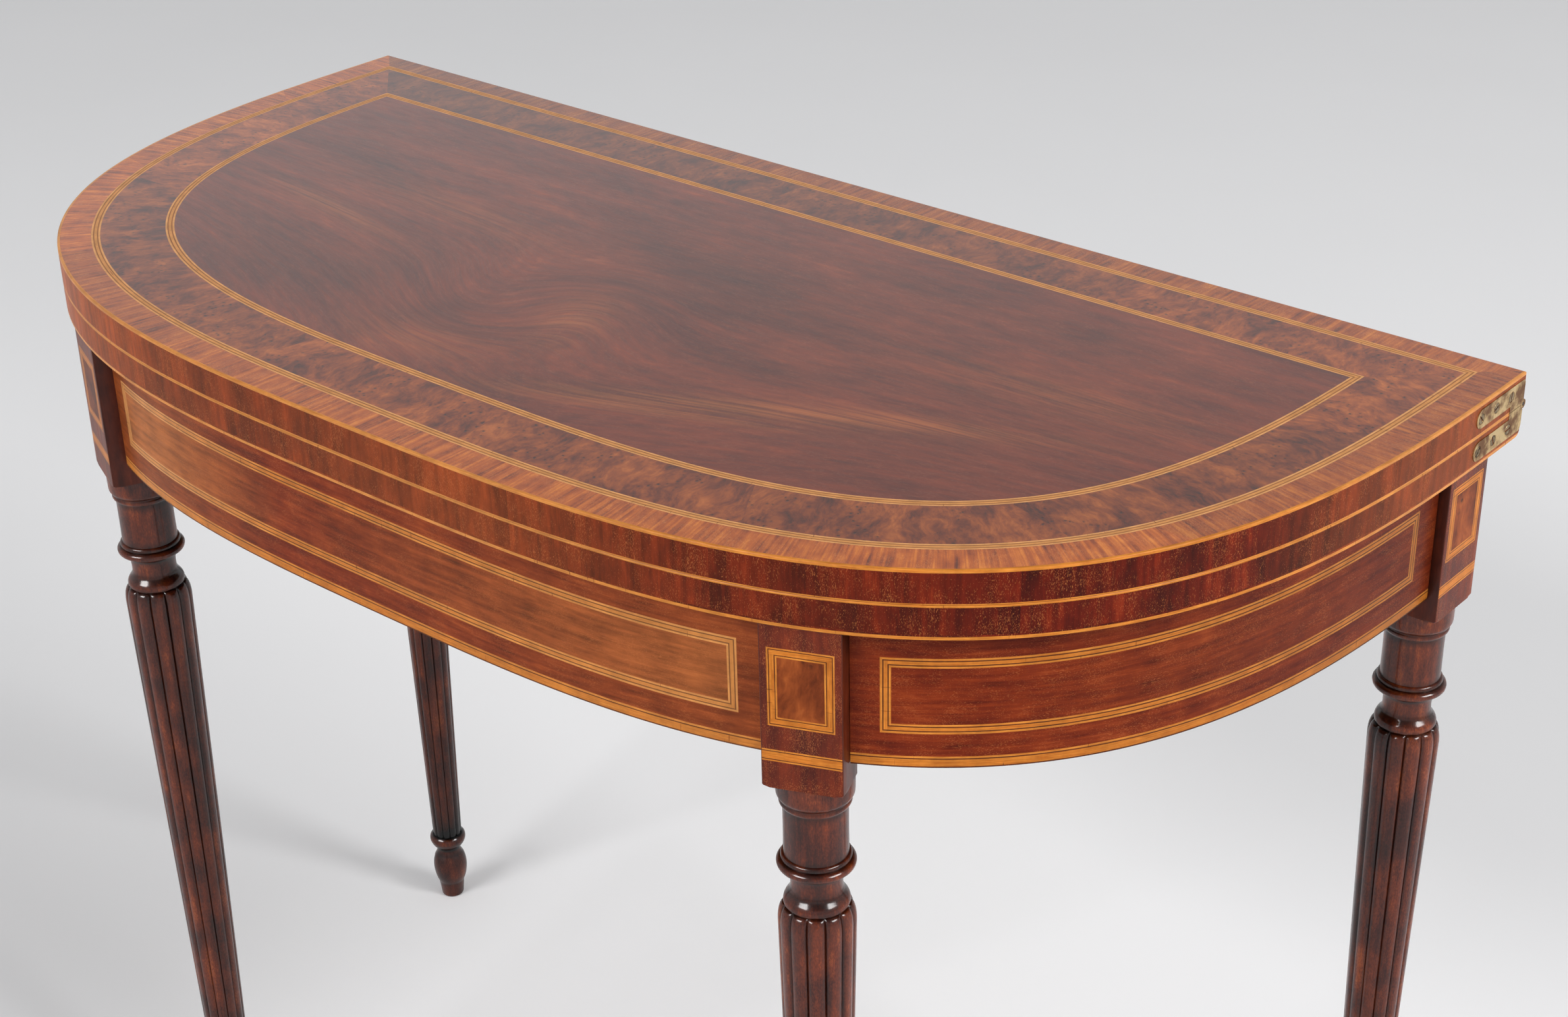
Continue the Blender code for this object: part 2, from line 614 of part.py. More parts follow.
def build_fly_legs(axes):
    """The rear legs with the fly rails that carry them."""
    radius = FLY_THICKNESS / 2
    finger = FLY_DEPTH / KNUCKLE_FINGERS
    shoulder = radius + KNUCKLE_GAP
    reach = radius + CUT_OVERRUN
    for side, side_name in ((-1, "left"), (1, "right")):
        axis = axes[side]
        centre = Vector((side * REAR_LEG_X, REAR_LEG_Y, 0))
        leg = make_object(f"rear_{side_name}_leg", leg_mesh(False), LEG_MAHOGANY, at=centre, parent=axis)

        end = REAR_LEG_X - HALF_BLOCK - FIT_GAP
        points = [(side * end, FLY_Y + radius), (side * end, FLY_Y - radius)]
        for i in range(KNUCKLE_ARC_STEPS + 1):
            angle = -math.pi / 2 - math.pi * i / KNUCKLE_ARC_STEPS
            x = KNUCKLE_STATION + radius * math.cos(angle)
            points.append((side * x, FLY_Y + radius * math.sin(angle)))
        bm = bmesh.new()
        add_prism(bm, points, FLY_BOTTOM, FLY_TOP)
        rail = make_object(f"{side_name}_fly_rail", bm, SECONDARY_WOOD, parent=axis)
        rail.location = -axis.location

        bm = bmesh.new()
        for level in range(1, KNUCKLE_FINGERS, 2):
            low = FLY_BOTTOM + level * finger
            inner = side * (KNUCKLE_STATION - reach)
            outer = side * (KNUCKLE_STATION + shoulder)
            ends = sorted((inner, outer))
            add_box(bm, (ends[0], FLY_Y - reach, low), (ends[1], FLY_Y + reach, low + finger))
        combine(rail, make_tool(rail.name + "_slots", bm))

        half = TENON_THICKNESS / 2
        for grow, target, operation in ((0.0, rail, "UNION"), (FIT_GAP, leg, "DIFFERENCE")):
            start = end - TENON_ROOT if grow == 0 else end - CUT_OVERRUN
            tip = REAR_LEG_X - HALF_BLOCK + TENON_LENGTH + grow
            ends = sorted((side * start, side * tip))
            low = FLY_BOTTOM + TENON_SHOULDER - grow
            high = FLY_TOP - TENON_SHOULDER + grow
            bm = bmesh.new()
            add_box(bm, (ends[0], FLY_Y - half - grow, low), (ends[1], FLY_Y + half + grow, high))
            combine(target, make_tool(target.name + "_" + operation.lower(), bm), operation)

        bore = bmesh.new()
        profile = [(0.0, KNUCKLE_PIN_RADIUS + FIT_GAP), (FLY_DEPTH + 2 * CUT_OVERRUN, KNUCKLE_PIN_RADIUS + FIT_GAP)]
        add_turned(bore, profile, PIN_SIDES, (axis.location.x, FLY_Y, FLY_BOTTOM - CUT_OVERRUN), (0, 0, 1))
        combine(rail, make_tool(rail.name + "_bore", bore))

        bm = bmesh.new()
        profile = [(0.0, KNUCKLE_PIN_RADIUS), (FLY_DEPTH, KNUCKLE_PIN_RADIUS)]
        add_turned(bm, profile, PIN_SIDES, (axis.location.x, FLY_Y, FLY_BOTTOM), (0, 0, 1))
        make_object(f"{side_name}_knuckle_pin", bm, IRON)


def build_knuckle_block(back_rail):
    """The fixed block between the fly rails, slotted at both ends for their fingers."""
    radius = FLY_THICKNESS / 2
    finger = FLY_DEPTH / KNUCKLE_FINGERS
    shoulder = radius + KNUCKLE_GAP
    reach = radius + CUT_OVERRUN
    points = []
    for side in (1, -1):
        for i in range(KNUCKLE_ARC_STEPS + 1):
            angle = side * (math.pi * i / KNUCKLE_ARC_STEPS - math.pi / 2)
            x = KNUCKLE_STATION + radius * math.cos(angle)
            points.append((side * x, FLY_Y + radius * math.sin(angle)))
    bm = bmesh.new()
    add_prism(bm, points, FLY_BOTTOM, FLY_TOP)
    block = make_object("knuckle_block", bm, SECONDARY_WOOD)
    slots = bmesh.new()
    bores = bmesh.new()
    for side in (-1, 1):
        for level in range(0, KNUCKLE_FINGERS, 2):
            low = FLY_BOTTOM + level * finger - KNUCKLE_GAP
            high = FLY_BOTTOM + (level + 1) * finger + KNUCKLE_GAP
            ends = sorted((side * (KNUCKLE_STATION - shoulder), side * (KNUCKLE_STATION + reach)))
            add_box(slots, (ends[0], FLY_Y - reach, low), (ends[1], FLY_Y + reach, high))
        profile = [(0.0, KNUCKLE_PIN_RADIUS + FIT_GAP), (FLY_DEPTH + 2 * CUT_OVERRUN, KNUCKLE_PIN_RADIUS + FIT_GAP)]
        at = (side * KNUCKLE_STATION, FLY_Y, FLY_BOTTOM - CUT_OVERRUN)
        add_turned(bores, profile, PIN_SIDES, at, (0, 0, 1))
    combine(block, make_tool("knuckle_block_slots", slots))
    combine(block, make_tool("knuckle_block_bores", bores))
    holes = bmesh.new()
    size = (WOOD_SCREW_HEAD, WOOD_SCREW_SHANK, WOOD_SCREW_SINK, FLY_THICKNESS + FIT_GAP + WOOD_SCREW_BITE)
    for side, side_name in ((-1, "left"), (1, "right")):
        at = Vector((side * BLOCK_SCREW_STATION, FLY_Y + radius, (FLY_BOTTOM + FLY_TOP) / 2))
        bm = bmesh.new()
        add_screw(bm, at, (0, -1, 0), *size)
        make_object(f"{side_name}_knuckle_block_screw", bm, IRON)
        add_screw(holes, at, (0, -1, 0), *size, grow=FIT_GAP)
    tool = make_tool("knuckle_block_screw_holes", holes)
    combine(block, tool)
    combine(back_rail, tool)


def plate_outline(upward, grow=0.0):
    """(y, z) outline of a hinge plate, or of its recess: a round-ended strip with a tab at the joint."""
    tab = BACK_Y - TAB_LENGTH - grow
    near = LEAF_GAP / 2 if grow == 0 else -CUT_OVERRUN
    middle = PLATE_STEP + PLATE_HEIGHT / 2
    corner = PLATE_STEP + PLATE_HEIGHT - PLATE_CORNER
    points = [(tab, PLATE_STEP - grow), (tab, near)]
    if grow == 0:
        points.append((BACK_Y, near))
    else:
        points += [(BACK_Y + CUT_OVERRUN, near), (BACK_Y + CUT_OVERRUN, corner)]
    radius = PLATE_CORNER + grow
    for i in range(PLATE_ARC_STEPS + 1):
        angle = math.pi / 2 * i / PLATE_ARC_STEPS
        y = BACK_Y - PLATE_CORNER + radius * math.cos(angle)
        points.append((y, corner + radius * math.sin(angle)))
    radius = PLATE_HEIGHT / 2 + grow
    for i in range(2 * PLATE_ARC_STEPS + 1):
        angle = math.pi / 2 + math.pi * i / (2 * PLATE_ARC_STEPS)
        y = BACK_Y - PLATE_LENGTH + PLATE_HEIGHT / 2 + radius * math.cos(angle)
        points.append((y, middle + radius * math.sin(angle)))
    return [(y, JOINT_Z + upward * z) for y, z in points]


def span(side, outer, inner):
    """Sorted ends along X of something let into one side of the table."""
    return sorted((side * outer, side * inner))


def build_hinge(side, side_name, leaves, leaf_axis):
    """One brass hinge: a plate with an eye for each leaf, a pin and six screws."""
    face = HALF_WIDTH + PLATE_PROUD
    eye_gap = FIT_GAP
    barrel = 2 * EYE_LENGTH + eye_gap
    axis_at = Vector((0, HINGE_Y, JOINT_Z))
    clearance = EYE_RADIUS + FIT_GAP

    def turned_on_axis(outer, inner, radius, sides):
        bm = bmesh.new()
        low, high = span(side, outer, inner)
        at = axis_at + Vector((low, 0, 0))
        add_turned(bm, [(0.0, radius), (high - low, radius)], sides, at, (1, 0, 0))
        return bm

    barrel_cut = make_tool(
        f"{side_name}_barrel_cut",
        turned_on_axis(face + CUT_OVERRUN, face - barrel - FIT_GAP, clearance, EYE_SIDES),
    )
    bore = make_tool(
        f"{side_name}_hinge_bore",
        turned_on_axis(face + CUT_OVERRUN, face - barrel - CUT_OVERRUN, HINGE_PIN_RADIUS + FIT_GAP, PIN_SIDES),
    )
    make_object(
        f"{side_name}_hinge_pin",
        turned_on_axis(face, face - barrel, HINGE_PIN_RADIUS, PIN_SIDES),
        IRON,
    )
    rows = (
        ("upper", 1, face, face - EYE_LENGTH, leaf_axis),
        ("lower", -1, face - EYE_LENGTH - eye_gap, face - barrel, None),
    )
    for level, upward, eye_outer, eye_inner, parent in rows:
        leaf = leaves[level]
        low, high = span(side, face, face - PLATE_THICKNESS)
        bm = bmesh.new()
        add_prism(bm, plate_outline(upward), low, high, axis="X")
        plate = make_object(f"{side_name}_{level}_hinge_plate", bm, BRASS, parent=parent)
        if parent is not None:
            plate.location = -parent.location

        lug_near = JOINT_Z + upward * LEAF_GAP / 2
        lug_far = lug_near + upward * LUG_SIZE
        heights = sorted((lug_near, lug_far))
        low, high = span(side, face - PLATE_THICKNESS / 2, eye_inner)
        bm = bmesh.new()
        add_box(bm, (low, BACK_Y - LUG_SIZE, heights[0]), (high, BACK_Y, heights[1]))
        combine(plate, make_tool(plate.name + "_lug", bm), "UNION")
        if level == "lower":
            cut = turned_on_axis(face + CUT_OVERRUN, face - EYE_LENGTH - FIT_GAP, clearance, EYE_SIDES)
            combine(plate, make_tool(plate.name + "_eye_room", cut))
        eye = turned_on_axis(eye_outer, eye_inner, EYE_RADIUS, EYE_SIDES)
        combine(plate, make_tool(plate.name + "_eye", eye), "UNION")
        combine(plate, bore)

        low, high = span(side, face + CUT_OVERRUN, face - PLATE_THICKNESS - FIT_GAP)
        bm = bmesh.new()
        add_prism(bm, plate_outline(upward, FIT_GAP), low, high, axis="X")
        combine(leaf, make_tool(plate.name + "_recess", bm))
        low, high = span(side, face + CUT_OVERRUN, eye_inner - FIT_GAP)
        heights = sorted((JOINT_Z - upward * CUT_OVERRUN, lug_far + upward * FIT_GAP))
        bm = bmesh.new()
        back = BACK_Y + CUT_OVERRUN
        add_box(bm, (low, BACK_Y - LUG_SIZE - FIT_GAP, heights[0]), (high, back, heights[1]))
        combine(leaf, make_tool(plate.name + "_mortise", bm))
        combine(leaf, barrel_cut)

        holes = bmesh.new()
        size = (HINGE_SCREW_HEAD, HINGE_SCREW_SHANK, HINGE_SCREW_SINK, HINGE_SCREW_LENGTH)
        for number in range(3):
            y = BACK_Y - HINGE_SCREW_FIRST - number * HINGE_SCREW_PITCH
            z = JOINT_Z + upward * (PLATE_STEP + PLATE_HEIGHT / 2)
            at = Vector((side * face, y, z))
            bm = bmesh.new()
            add_screw(bm, at, (-side, 0, 0), *size)
            screw = make_object(f"{side_name}_{level}_hinge_screw_{number + 1}", bm, BRASS, parent=parent)
            if parent is not None:
                screw.location = -parent.location
            add_screw(holes, at, (-side, 0, 0), *size, grow=FIT_GAP)
        tool = make_tool(plate.name + "_screw_holes", holes)
        combine(plate, tool)
        combine(leaf, tool)


def finish_meshes():
    """Apply the cuts and joins, drop their tools and smooth the round faces."""
    depsgraph = bpy.context.evaluated_depsgraph_get()
    objects = [obj for obj in bpy.data.objects if obj.type == "MESH"]
    parts = [obj for obj in objects if not obj.hide_render]
    finished = [(obj, bpy.data.meshes.new_from_object(obj.evaluated_get(depsgraph))) for obj in parts]
    for obj, mesh in finished:
        mesh.name = obj.name
        obj.modifiers.clear()
        obj.data = mesh
        mesh.shade_smooth()
        mesh.set_sharp_from_angle(angle=SMOOTH_ANGLE)
    for obj in objects:
        if obj.hide_render:
            bpy.data.objects.remove(obj, do_unlink=True)


def main():
    clear_scene()
    leaf_axis = make_axis("leaf_axis", (0, HINGE_Y, JOINT_Z))
    fly_axes = {
        -1: make_axis("left_fly_axis", (-KNUCKLE_STATION, FLY_Y, FLY_BOTTOM)),
        1: make_axis("right_fly_axis", (KNUCKLE_STATION, FLY_Y, FLY_BOTTOM)),
    }
    lower, upper = build_leaves(leaf_axis)
    build_front_legs()
    back_rail = build_rails()
    build_corner_blocks()
    build_cleats(lower)
    build_fly_legs(fly_axes)
    build_knuckle_block(back_rail)
    for side, side_name in ((-1, "left"), (1, "right")):
        build_hinge(side, side_name, {"upper": upper, "lower": lower}, leaf_axis)
    finish_meshes()


main()
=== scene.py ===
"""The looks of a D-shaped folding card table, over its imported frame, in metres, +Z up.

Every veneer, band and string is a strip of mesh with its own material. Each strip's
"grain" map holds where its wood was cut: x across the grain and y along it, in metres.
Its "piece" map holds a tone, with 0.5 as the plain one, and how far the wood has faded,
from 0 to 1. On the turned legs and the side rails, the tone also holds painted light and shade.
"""
import math

import bmesh
import bpy
import numpy as np
from mathutils import Matrix, Vector


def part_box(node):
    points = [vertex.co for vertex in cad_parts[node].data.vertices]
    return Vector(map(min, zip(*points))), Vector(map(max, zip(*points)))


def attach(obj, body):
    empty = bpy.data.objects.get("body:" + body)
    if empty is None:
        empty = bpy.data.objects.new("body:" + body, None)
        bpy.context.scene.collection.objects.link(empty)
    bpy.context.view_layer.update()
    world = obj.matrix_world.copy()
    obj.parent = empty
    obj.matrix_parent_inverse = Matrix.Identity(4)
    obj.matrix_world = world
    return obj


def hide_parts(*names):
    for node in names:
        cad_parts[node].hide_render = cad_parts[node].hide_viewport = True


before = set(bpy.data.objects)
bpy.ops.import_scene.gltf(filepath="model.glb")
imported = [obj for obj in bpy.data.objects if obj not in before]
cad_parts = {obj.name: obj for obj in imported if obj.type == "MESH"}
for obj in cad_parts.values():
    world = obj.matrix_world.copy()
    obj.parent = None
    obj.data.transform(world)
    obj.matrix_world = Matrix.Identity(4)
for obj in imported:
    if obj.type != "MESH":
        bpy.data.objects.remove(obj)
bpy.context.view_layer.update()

MM = 0.001


def in_mm(*sizes):
    """Sizes given in millimetres."""
    return tuple(size * MM for size in sizes)


# Sizes read from the frame
UPPER_LOW, UPPER_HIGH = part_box("upper_leaf")
LOWER_LOW, LOWER_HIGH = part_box("lower_leaf")
BAIZE_LOW, BAIZE_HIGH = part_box("upper_baize")
FRONT_RAIL_LOW, FRONT_RAIL_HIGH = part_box("front_rail")
REAR_LEG_LOW, REAR_LEG_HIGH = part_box("rear_right_leg")
HALF_WIDTH = UPPER_HIGH.x
BACK_Y = UPPER_HIGH.y
TABLE_DEPTH = BACK_Y - UPPER_LOW.y
TABLE_TOP = UPPER_HIGH.z
BAIZE_BORDER = HALF_WIDTH - BAIZE_HIGH.x
BED_HALF_WIDTH = HALF_WIDTH - BAIZE_BORDER
BAIZE_THICKNESS = BAIZE_HIGH.z - BAIZE_LOW.z
FRAME_TOP = FRONT_RAIL_HIGH.z
RAIL_BOTTOM = FRONT_RAIL_LOW.z
BLOCK_WIDTH = REAR_LEG_HIGH.x - REAR_LEG_LOW.x
HALF_BLOCK = BLOCK_WIDTH / 2
REAR_LEG_X = REAR_LEG_HIGH.x - HALF_BLOCK
REAR_LEG_Y = REAR_LEG_HIGH.y - HALF_BLOCK
FIT_GAP = LOWER_LOW.z - FRAME_TOP
SIDE_RAIL_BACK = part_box("right_side_rail")[1].y

# Shape of the D, as in the frame
OUTLINE_POWER = 3.12
RAIL_SIDE_INSET = 13.5 * MM
RAIL_FRONT_INSET = 10 * MM
RAIL_THICKNESS = 22 * MM
LOWER_BACK_ROUND = 4 * MM
BACK_ROUND_STEPS = 5
OUTLINE_SAMPLES = 4000
# Part of the outline's samples among which the right front leg's sides are looked for
FRONT_SEARCH = (0.1, 0.5)

# Inlay of the top: distance of each line's outer side from the curved edge and from the back edge
TOP_LINE_WIDTHS = in_mm(1.15, 0.80, 1.60, 0.80, 1.15)
TOP_LINE_WIDTH = sum(TOP_LINE_WIDTHS)
OUTER_LINE = in_mm(20.6, 16.8)
INNER_LINE = in_mm(65.9, 59.9)
ARRIS_STRING = 1.7 * MM
ARRIS_ROUND = 0.7 * MM
ARRIS_STEPS = 3
LEAF_STEPS = 240
CENTRE_STEPS = 70
UPPER_FOOT_STRING = 0.6 * MM
LOWER_HEAD_STRING = 1.1 * MM
LOWER_FOOT_STRING = 1.75 * MM
BED_DEPTH = BAIZE_THICKNESS + FIT_GAP
# How far the wood stays below the brass that is flush with it, so that no two faces share a plane
BRASS_STAND = 0.03 * MM
# Strings across an inlaid line, from one side to the other
LINE_FINISHES = ("boxwood", "ebony", "golden", "ebony", "boxwood")
LINE_LOOK = {"tone": 0.04, "fade": 0.9}

# Butt joints of the bands, as shares of the curve's length from the right
CROSSBAND_JOINT_SHARES = (0.075, 0.19, 0.30, 0.41, 0.505, 0.60, 0.71, 0.82, 0.925)
BURR_JOINT_SHARES = (0.10, 0.235, 0.345, 0.46, 0.565, 0.67, 0.79, 0.90)
EDGE_JOINT_SHARES = (0.055, 0.16, 0.24, 0.34, 0.42, 0.53, 0.62, 0.73, 0.84, 0.93)
# How much paler or darker the pieces between the joints are
CROSSBAND_TONES = (-0.24, -0.20, -0.08, -0.15, -0.08, -0.02, -0.06, -0.06, -0.10, -0.08)
EDGE_TONES = (-0.22, -0.24, -0.12, -0.10, 0.0, 0.0, 0.0, 0.0, 0.0, 0.0, 0.0)
BURR_TONES = (0.12, -0.10, -0.18, -0.12, 0.02, 0.0, 0.0, -0.02, -0.05)
LOWER_EDGE_TONE = -0.05
PIECE_SPREAD = 0.30
EDGE_PIECES = {"joints": EDGE_JOINT_SHARES, "offsets": EDGE_TONES, "spread": PIECE_SPREAD}
# Butt joints along the back edge, by x
BACK_CROSSBAND_JOINTS = (0.31, 0.12, -0.10, -0.29)
BACK_BURR_JOINTS = (0.2175, 0.090, -0.0375, -0.17, -0.30)
# First numbers of the pieces of veneer on the back edge, the rails and the blocks
BACK_PIECES = 20
RAIL_PIECES = 30
BLOCK_PIECES = 40
# How far apart along the flitch two numbered pieces were cut, and what scatters their tones
PIECE_STEP = 0.731
SCATTER = (12.9898, 4.1, 43758.5453)

# How faded the side veneers are, by the share of the way round from the right back corner
FADE_SHARES = (0.0, 0.08, 0.16, 0.24, 0.34, 0.44, 0.55, 0.64, 0.72, 0.86, 1.0)
EDGE_FADES = (0.44, 0.34, 0.02, 0.0, 0.06, 0.30, 0.22, 0.36, 0.58, 0.74, 0.84)
RAIL_FADES = (0.0, 0.0, 0.0, 0.0, 0.46, 0.22, 0.04, 0.66, 0.50, 0.30, 0.30)
SIDE_FADES = (0.05, 0.02, 0.05, 0.0, 0.0, 0.0, 0.0, 0.2, 0.3, 0.3, 0.3)
# How much darker a side rail is by its rear leg, and over which share of the way round
REAR_SHADE = 0.50
REAR_SHADE_SHARE = 0.30
# Along the back edge, the bands are darker to the left: places, then tones at them by band
BACK_TONE_PLACES = (-0.30, 0.42)
CROSSBAND_BACK_TONES = (-0.42, -0.12)
BURR_BACK_TONES = (-0.36, 0.0)

# Swirl in the flame of the top's centre: its place, its size and how far it turns the grain
SWIRL_PLACE = (-0.030, 0.272)
SWIRL_SIZE = 0.060
SWIRL_TURN = math.radians(78)
# Plume of the flame: its middle, how soft its ridge is, the depths between which it rises, and its slope
PLUME_X = 0.020
PLUME_WIDTH = 0.060
PLUME_START = 0.14
PLUME_END = 0.38
PLUME_SLOPE = 0.55
# Clouds in the flame: x, depth from the back edge, half length, half width, turn in degrees, change of tone
CLOUDS = (
    (0.000, 0.165, 0.120, 0.030, 0, -0.34),
    (-0.215, 0.312, 0.060, 0.036, 12, -0.36),
    (-0.150, 0.285, 0.030, 0.050, 20, -0.22),
    (0.060, 0.205, 0.060, 0.030, 0, -0.20),
    (-0.250, 0.236, 0.060, 0.008, 10, 0.26),
    (-0.055, 0.345, 0.050, 0.022, -8, 0.16),
    (-0.070, 0.300, 0.014, 0.050, 24, -0.26),
    (0.000, 0.268, 0.020, 0.036, -20, 0.26),
    (0.072, 0.340, 0.040, 0.010, -14, -0.22),
    (0.110, 0.333, 0.090, 0.006, -21, 0.34),
    (0.130, 0.316, 0.100, 0.006, -23, -0.24),
    (0.150, 0.302, 0.110, 0.008, -24, 0.36),
    (0.205, 0.296, 0.060, 0.006, -26, -0.20),
    (0.230, 0.262, 0.080, 0.010, -22, 0.26),
    (0.120, 0.255, 0.060, 0.016, -12, -0.18),
    (-0.330, 0.140, 0.060, 0.060, 0, -0.18),
    (0.180, 0.112, 0.150, 0.016, 0, -0.24),
    (-0.120, 0.110, 0.120, 0.014, 0, -0.14),
    (0.280, 0.185, 0.080, 0.018, -6, 0.16),
    (-0.180, 0.190, 0.090, 0.016, 4, 0.14),
)

# Inlay of the rails and leg blocks, down from the table's top
PANEL_LINE_WIDTHS = in_mm(1.15, 0.65, 1.95, 0.65, 1.10)
PANEL_TOP = 56.4 * MM
PANEL_BOTTOM = 99.8 * MM
PANEL_MARGIN = 15 * MM
PANEL_REAR_MARGIN = 20 * MM
BANDING_TOP = 112.9 * MM
BANDING_WIDTHS = in_mm(1.15, 0.65, 4.1, 0.8)
BLOCK_LINE_WIDTHS = in_mm(0.85, 0.5, 2.6, 0.5, 0.85)
BLOCK_PANEL_TOP = 51.8 * MM
BLOCK_PANEL_BOTTOM = 96.9 * MM
BLOCK_PANEL_WIDTH = 35 * MM
BLOCK_BANDING_TOP = 110.9 * MM
BLOCK_BANDING_WIDTHS = in_mm(0.85, 0.5, 4.3, 0.5, 0.85)
RAIL_STATION = 7 * MM
BLOCK_STATION = 6 * MM
# How much of a rail's fading is left outside its inlaid panel
OUTER_FADE = 0.4

# Legs
BLOCK_HEIGHT = 95.4 * MM
BLOCK_BOTTOM = FRAME_TOP - BLOCK_HEIGHT
BLOCK_SET_IN = 1.8 * MM
BLOCK_FOOT_ROUND = 2.5 * MM
FOOT_ROUND_STEPS = 6
BLOCK_EDGE_ROUND = 0.5 * MM
# x at which the right front leg's block faces the outline
FRONT_LEG_STATION = 0.2855
INNER_BEVEL_HEIGHT = 28 * MM
INNER_BEVEL_DEPTH = 17 * MM
NECK_TUCK = 2 * MM
LEG_RADIUS = 20.9 * MM
NECK_HEIGHT = 81.5 * MM
REED_TOP = BLOCK_BOTTOM - NECK_HEIGHT
REED_COUNT = 12
REED_POINTS = 16
REED_DEPTH = 2.5 * MM
REED_CROWN = 10.5 * MM
REED_CROWN_STEPS = 10
# Share of a reed's round that is followed, short of its upright side
REED_SIDE = 0.99
# Powers that round a reed across, and its crown and grooves at the top
REED_POWER = 2.3
CROWN_POWER = 0.8
GROOVE_POWER = 0.35
SHAFT_STEPS = 12
SHAFT_FOOT_RADIUS = 11.9 * MM
SHAFT_FOOT_DEPTH = 1.1 * MM
FOOT_HEIGHT = 63 * MM
TURNED_SIDES = 96
CURVE_STEPS = 4
# Grime and painted shade in a turning's hollows: how far up and down a fuller radius is looked for, the depth
# below it at which a point is darkest, and how much darker it gets
GRIME_AND_SHADE_REACH = 3 * MM
GRIME_AND_SHADE_DEPTH = 2.2 * MM
GRIME_AND_SHADE_SHARE = 0.95
# Painted light: how much paler a turning is on its outer side, and darker on its inner side
LIT_SIDE_TONE = 0.14
# Plain tone of each turned leg: front left, front right, rear left, rear right; the rear left one is lower as
# painted shadow
LEG_TONES_WITH_SHADOW = (0.54, 0.60, 0.30, 0.54)

# Turned neck, in millimetres: distance below the block and radius. Each run is one smooth curve.
NECK_RUNS = (
    ((0.0, 20.7), (6.0, 20.75), (10.8, 20.6), (12.6, 20.0), (13.9, 19.0)),
    ((13.9, 19.0), (14.6, 18.7), (15.6, 19.1), (16.6, 19.1), (17.5, 18.7)),
    ((17.5, 18.7), (17.9, 17.9), (18.7, 17.35), (20.0, 17.2)),
    ((20.0, 17.2), (34.0, 17.15), (48.7, 17.3)),
    ((48.7, 17.3), (49.2, 18.3), (50.2, 18.8), (51.3, 18.8), (51.9, 18.5)),
    ((51.9, 18.5), (52.4, 19.8), (53.6, 20.9), (55.0, 21.05), (56.4, 20.5), (57.4, 19.2)),
    ((57.4, 19.2), (58.2, 17.0), (59.5, 15.5), (62.5, 14.4), (67.0, 13.9), (71.0, 14.0)),
    ((71.0, 14.0), (73.0, 14.7), (74.8, 15.9), (76.4, 17.0), (78.2, 17.7), (80.0, 17.8), (81.1, 17.4)),
    ((81.1, 17.4), (81.5, 17.1)),
)
# Turned foot, in millimetres: height above the floor and radius
FOOT_RUNS = (
    ((0.0, 8.34), (0.6, 8.9), (1.5, 9.2)),
    ((1.5, 9.2), (7.5, 9.8), (14.2, 10.6)),
    ((14.2, 10.6), (17.5, 11.9), (22.0, 13.1), (29.0, 13.95), (35.0, 13.6), (40.0, 12.4)),
    ((40.0, 12.4), (43.5, 10.7), (46.5, 9.9), (49.0, 10.0)),
    ((49.0, 10.0), (50.6, 11.4), (53.2, 13.4), (57.0, 14.8), (60.2, 14.6), (62.2, 13.2), (63.0, 11.9)),
)

# Screws
SCREW_ARC = 12
SCREW_BEVEL = 0.15 * MM
SLOT_WIDTH = 0.8 * MM
SLOT_DEPTH = 0.6 * MM
# How far each screw's slot is turned from the last one's
SLOT_TURN = 1.94
# A point this much wider than the shank still counts as on it
SHANK_SLACK = 1.05

# Camera, fitted to the photograph, in its own pixels and in the frame's metres
PHOTO_WIDTH = 2380
PHOTO_HEIGHT = 1543
FOCAL_PIXELS = 3903.25
PRINCIPAL_PIXEL = (1262.33, 855.36)
CAMERA_PLACE = Vector((0.98489, -1.00495, 1.31454))
CAMERA_YAW = math.radians(39.738)
CAMERA_PITCH = math.radians(28.733)
CAMERA_ROLL = math.radians(-0.656)
SENSOR_WIDTH = 36.0

# Studio: the sky's colour by the sine of its height, and each soft box's name, place, width, height,
# power and whether it lights things up or is only mirrored in them
SKY = (
    (0.0, (0.80, 0.80, 0.81)),
    (0.20, (0.90, 0.90, 0.92)),
    (0.30, (0.82, 0.82, 0.84)),
    (0.39, (0.58, 0.58, 0.59)),
    (0.46, (0.36, 0.36, 0.37)),
    (0.60, (0.25, 0.25, 0.25)),
    (1.0, (0.27, 0.27, 0.27)),
)
BOXES = (
    ("left_box", (-0.9, -5.4, 4.2), 3.0, 0.9, 202, "diffuse"),
    ("right_box", (5.4, 0.5, 4.2), 3.0, 0.9, 330, "diffuse"),
    ("left_sheen", (-0.9, -5.5, 4.3), 3.2, 2.2, 560, "glossy"),
    ("right_sheen", (5.5, 0.5, 4.3), 3.2, 2.2, 560, "glossy"),
)
LIGHT_TARGET = (0.0, 0.0, 0.6)
FLOOR_HALF = 14.0

# Polish of the woods: roughness, coat, roughness of the coat and specular level
TOP_GLOSS = (0.34, 0.5, 0.16, 0.5)
SIDE_GLOSS = (0.38, 0.0, 0.2, 0.09)
STRING_GLOSS = (0.36, 0.0, 0.2, 0.12)
BARE_GLOSS = (0.7, 0.0, 0.3, 0.3)
# Swings a metre of a wood's slow drift, its fibre and its uneven surface, and how much each does
DRIFT_SWINGS = (14, 14, 5)
DRIFT = 0.006
FIBRE_SWINGS = (1500, 1500, 45)
FIBRE_SHARE = 0.3
WAVE_SWINGS = (22, 22, 9)
WOOD_RELIEF = 0.05 * MM
# Turn of a solid wood whose grain runs up
STRAIGHT = (0.0, 0.0, 0.0)

SHARP_ANGLE = math.radians(32)
MERGE_DISTANCE = 0.002 * MM


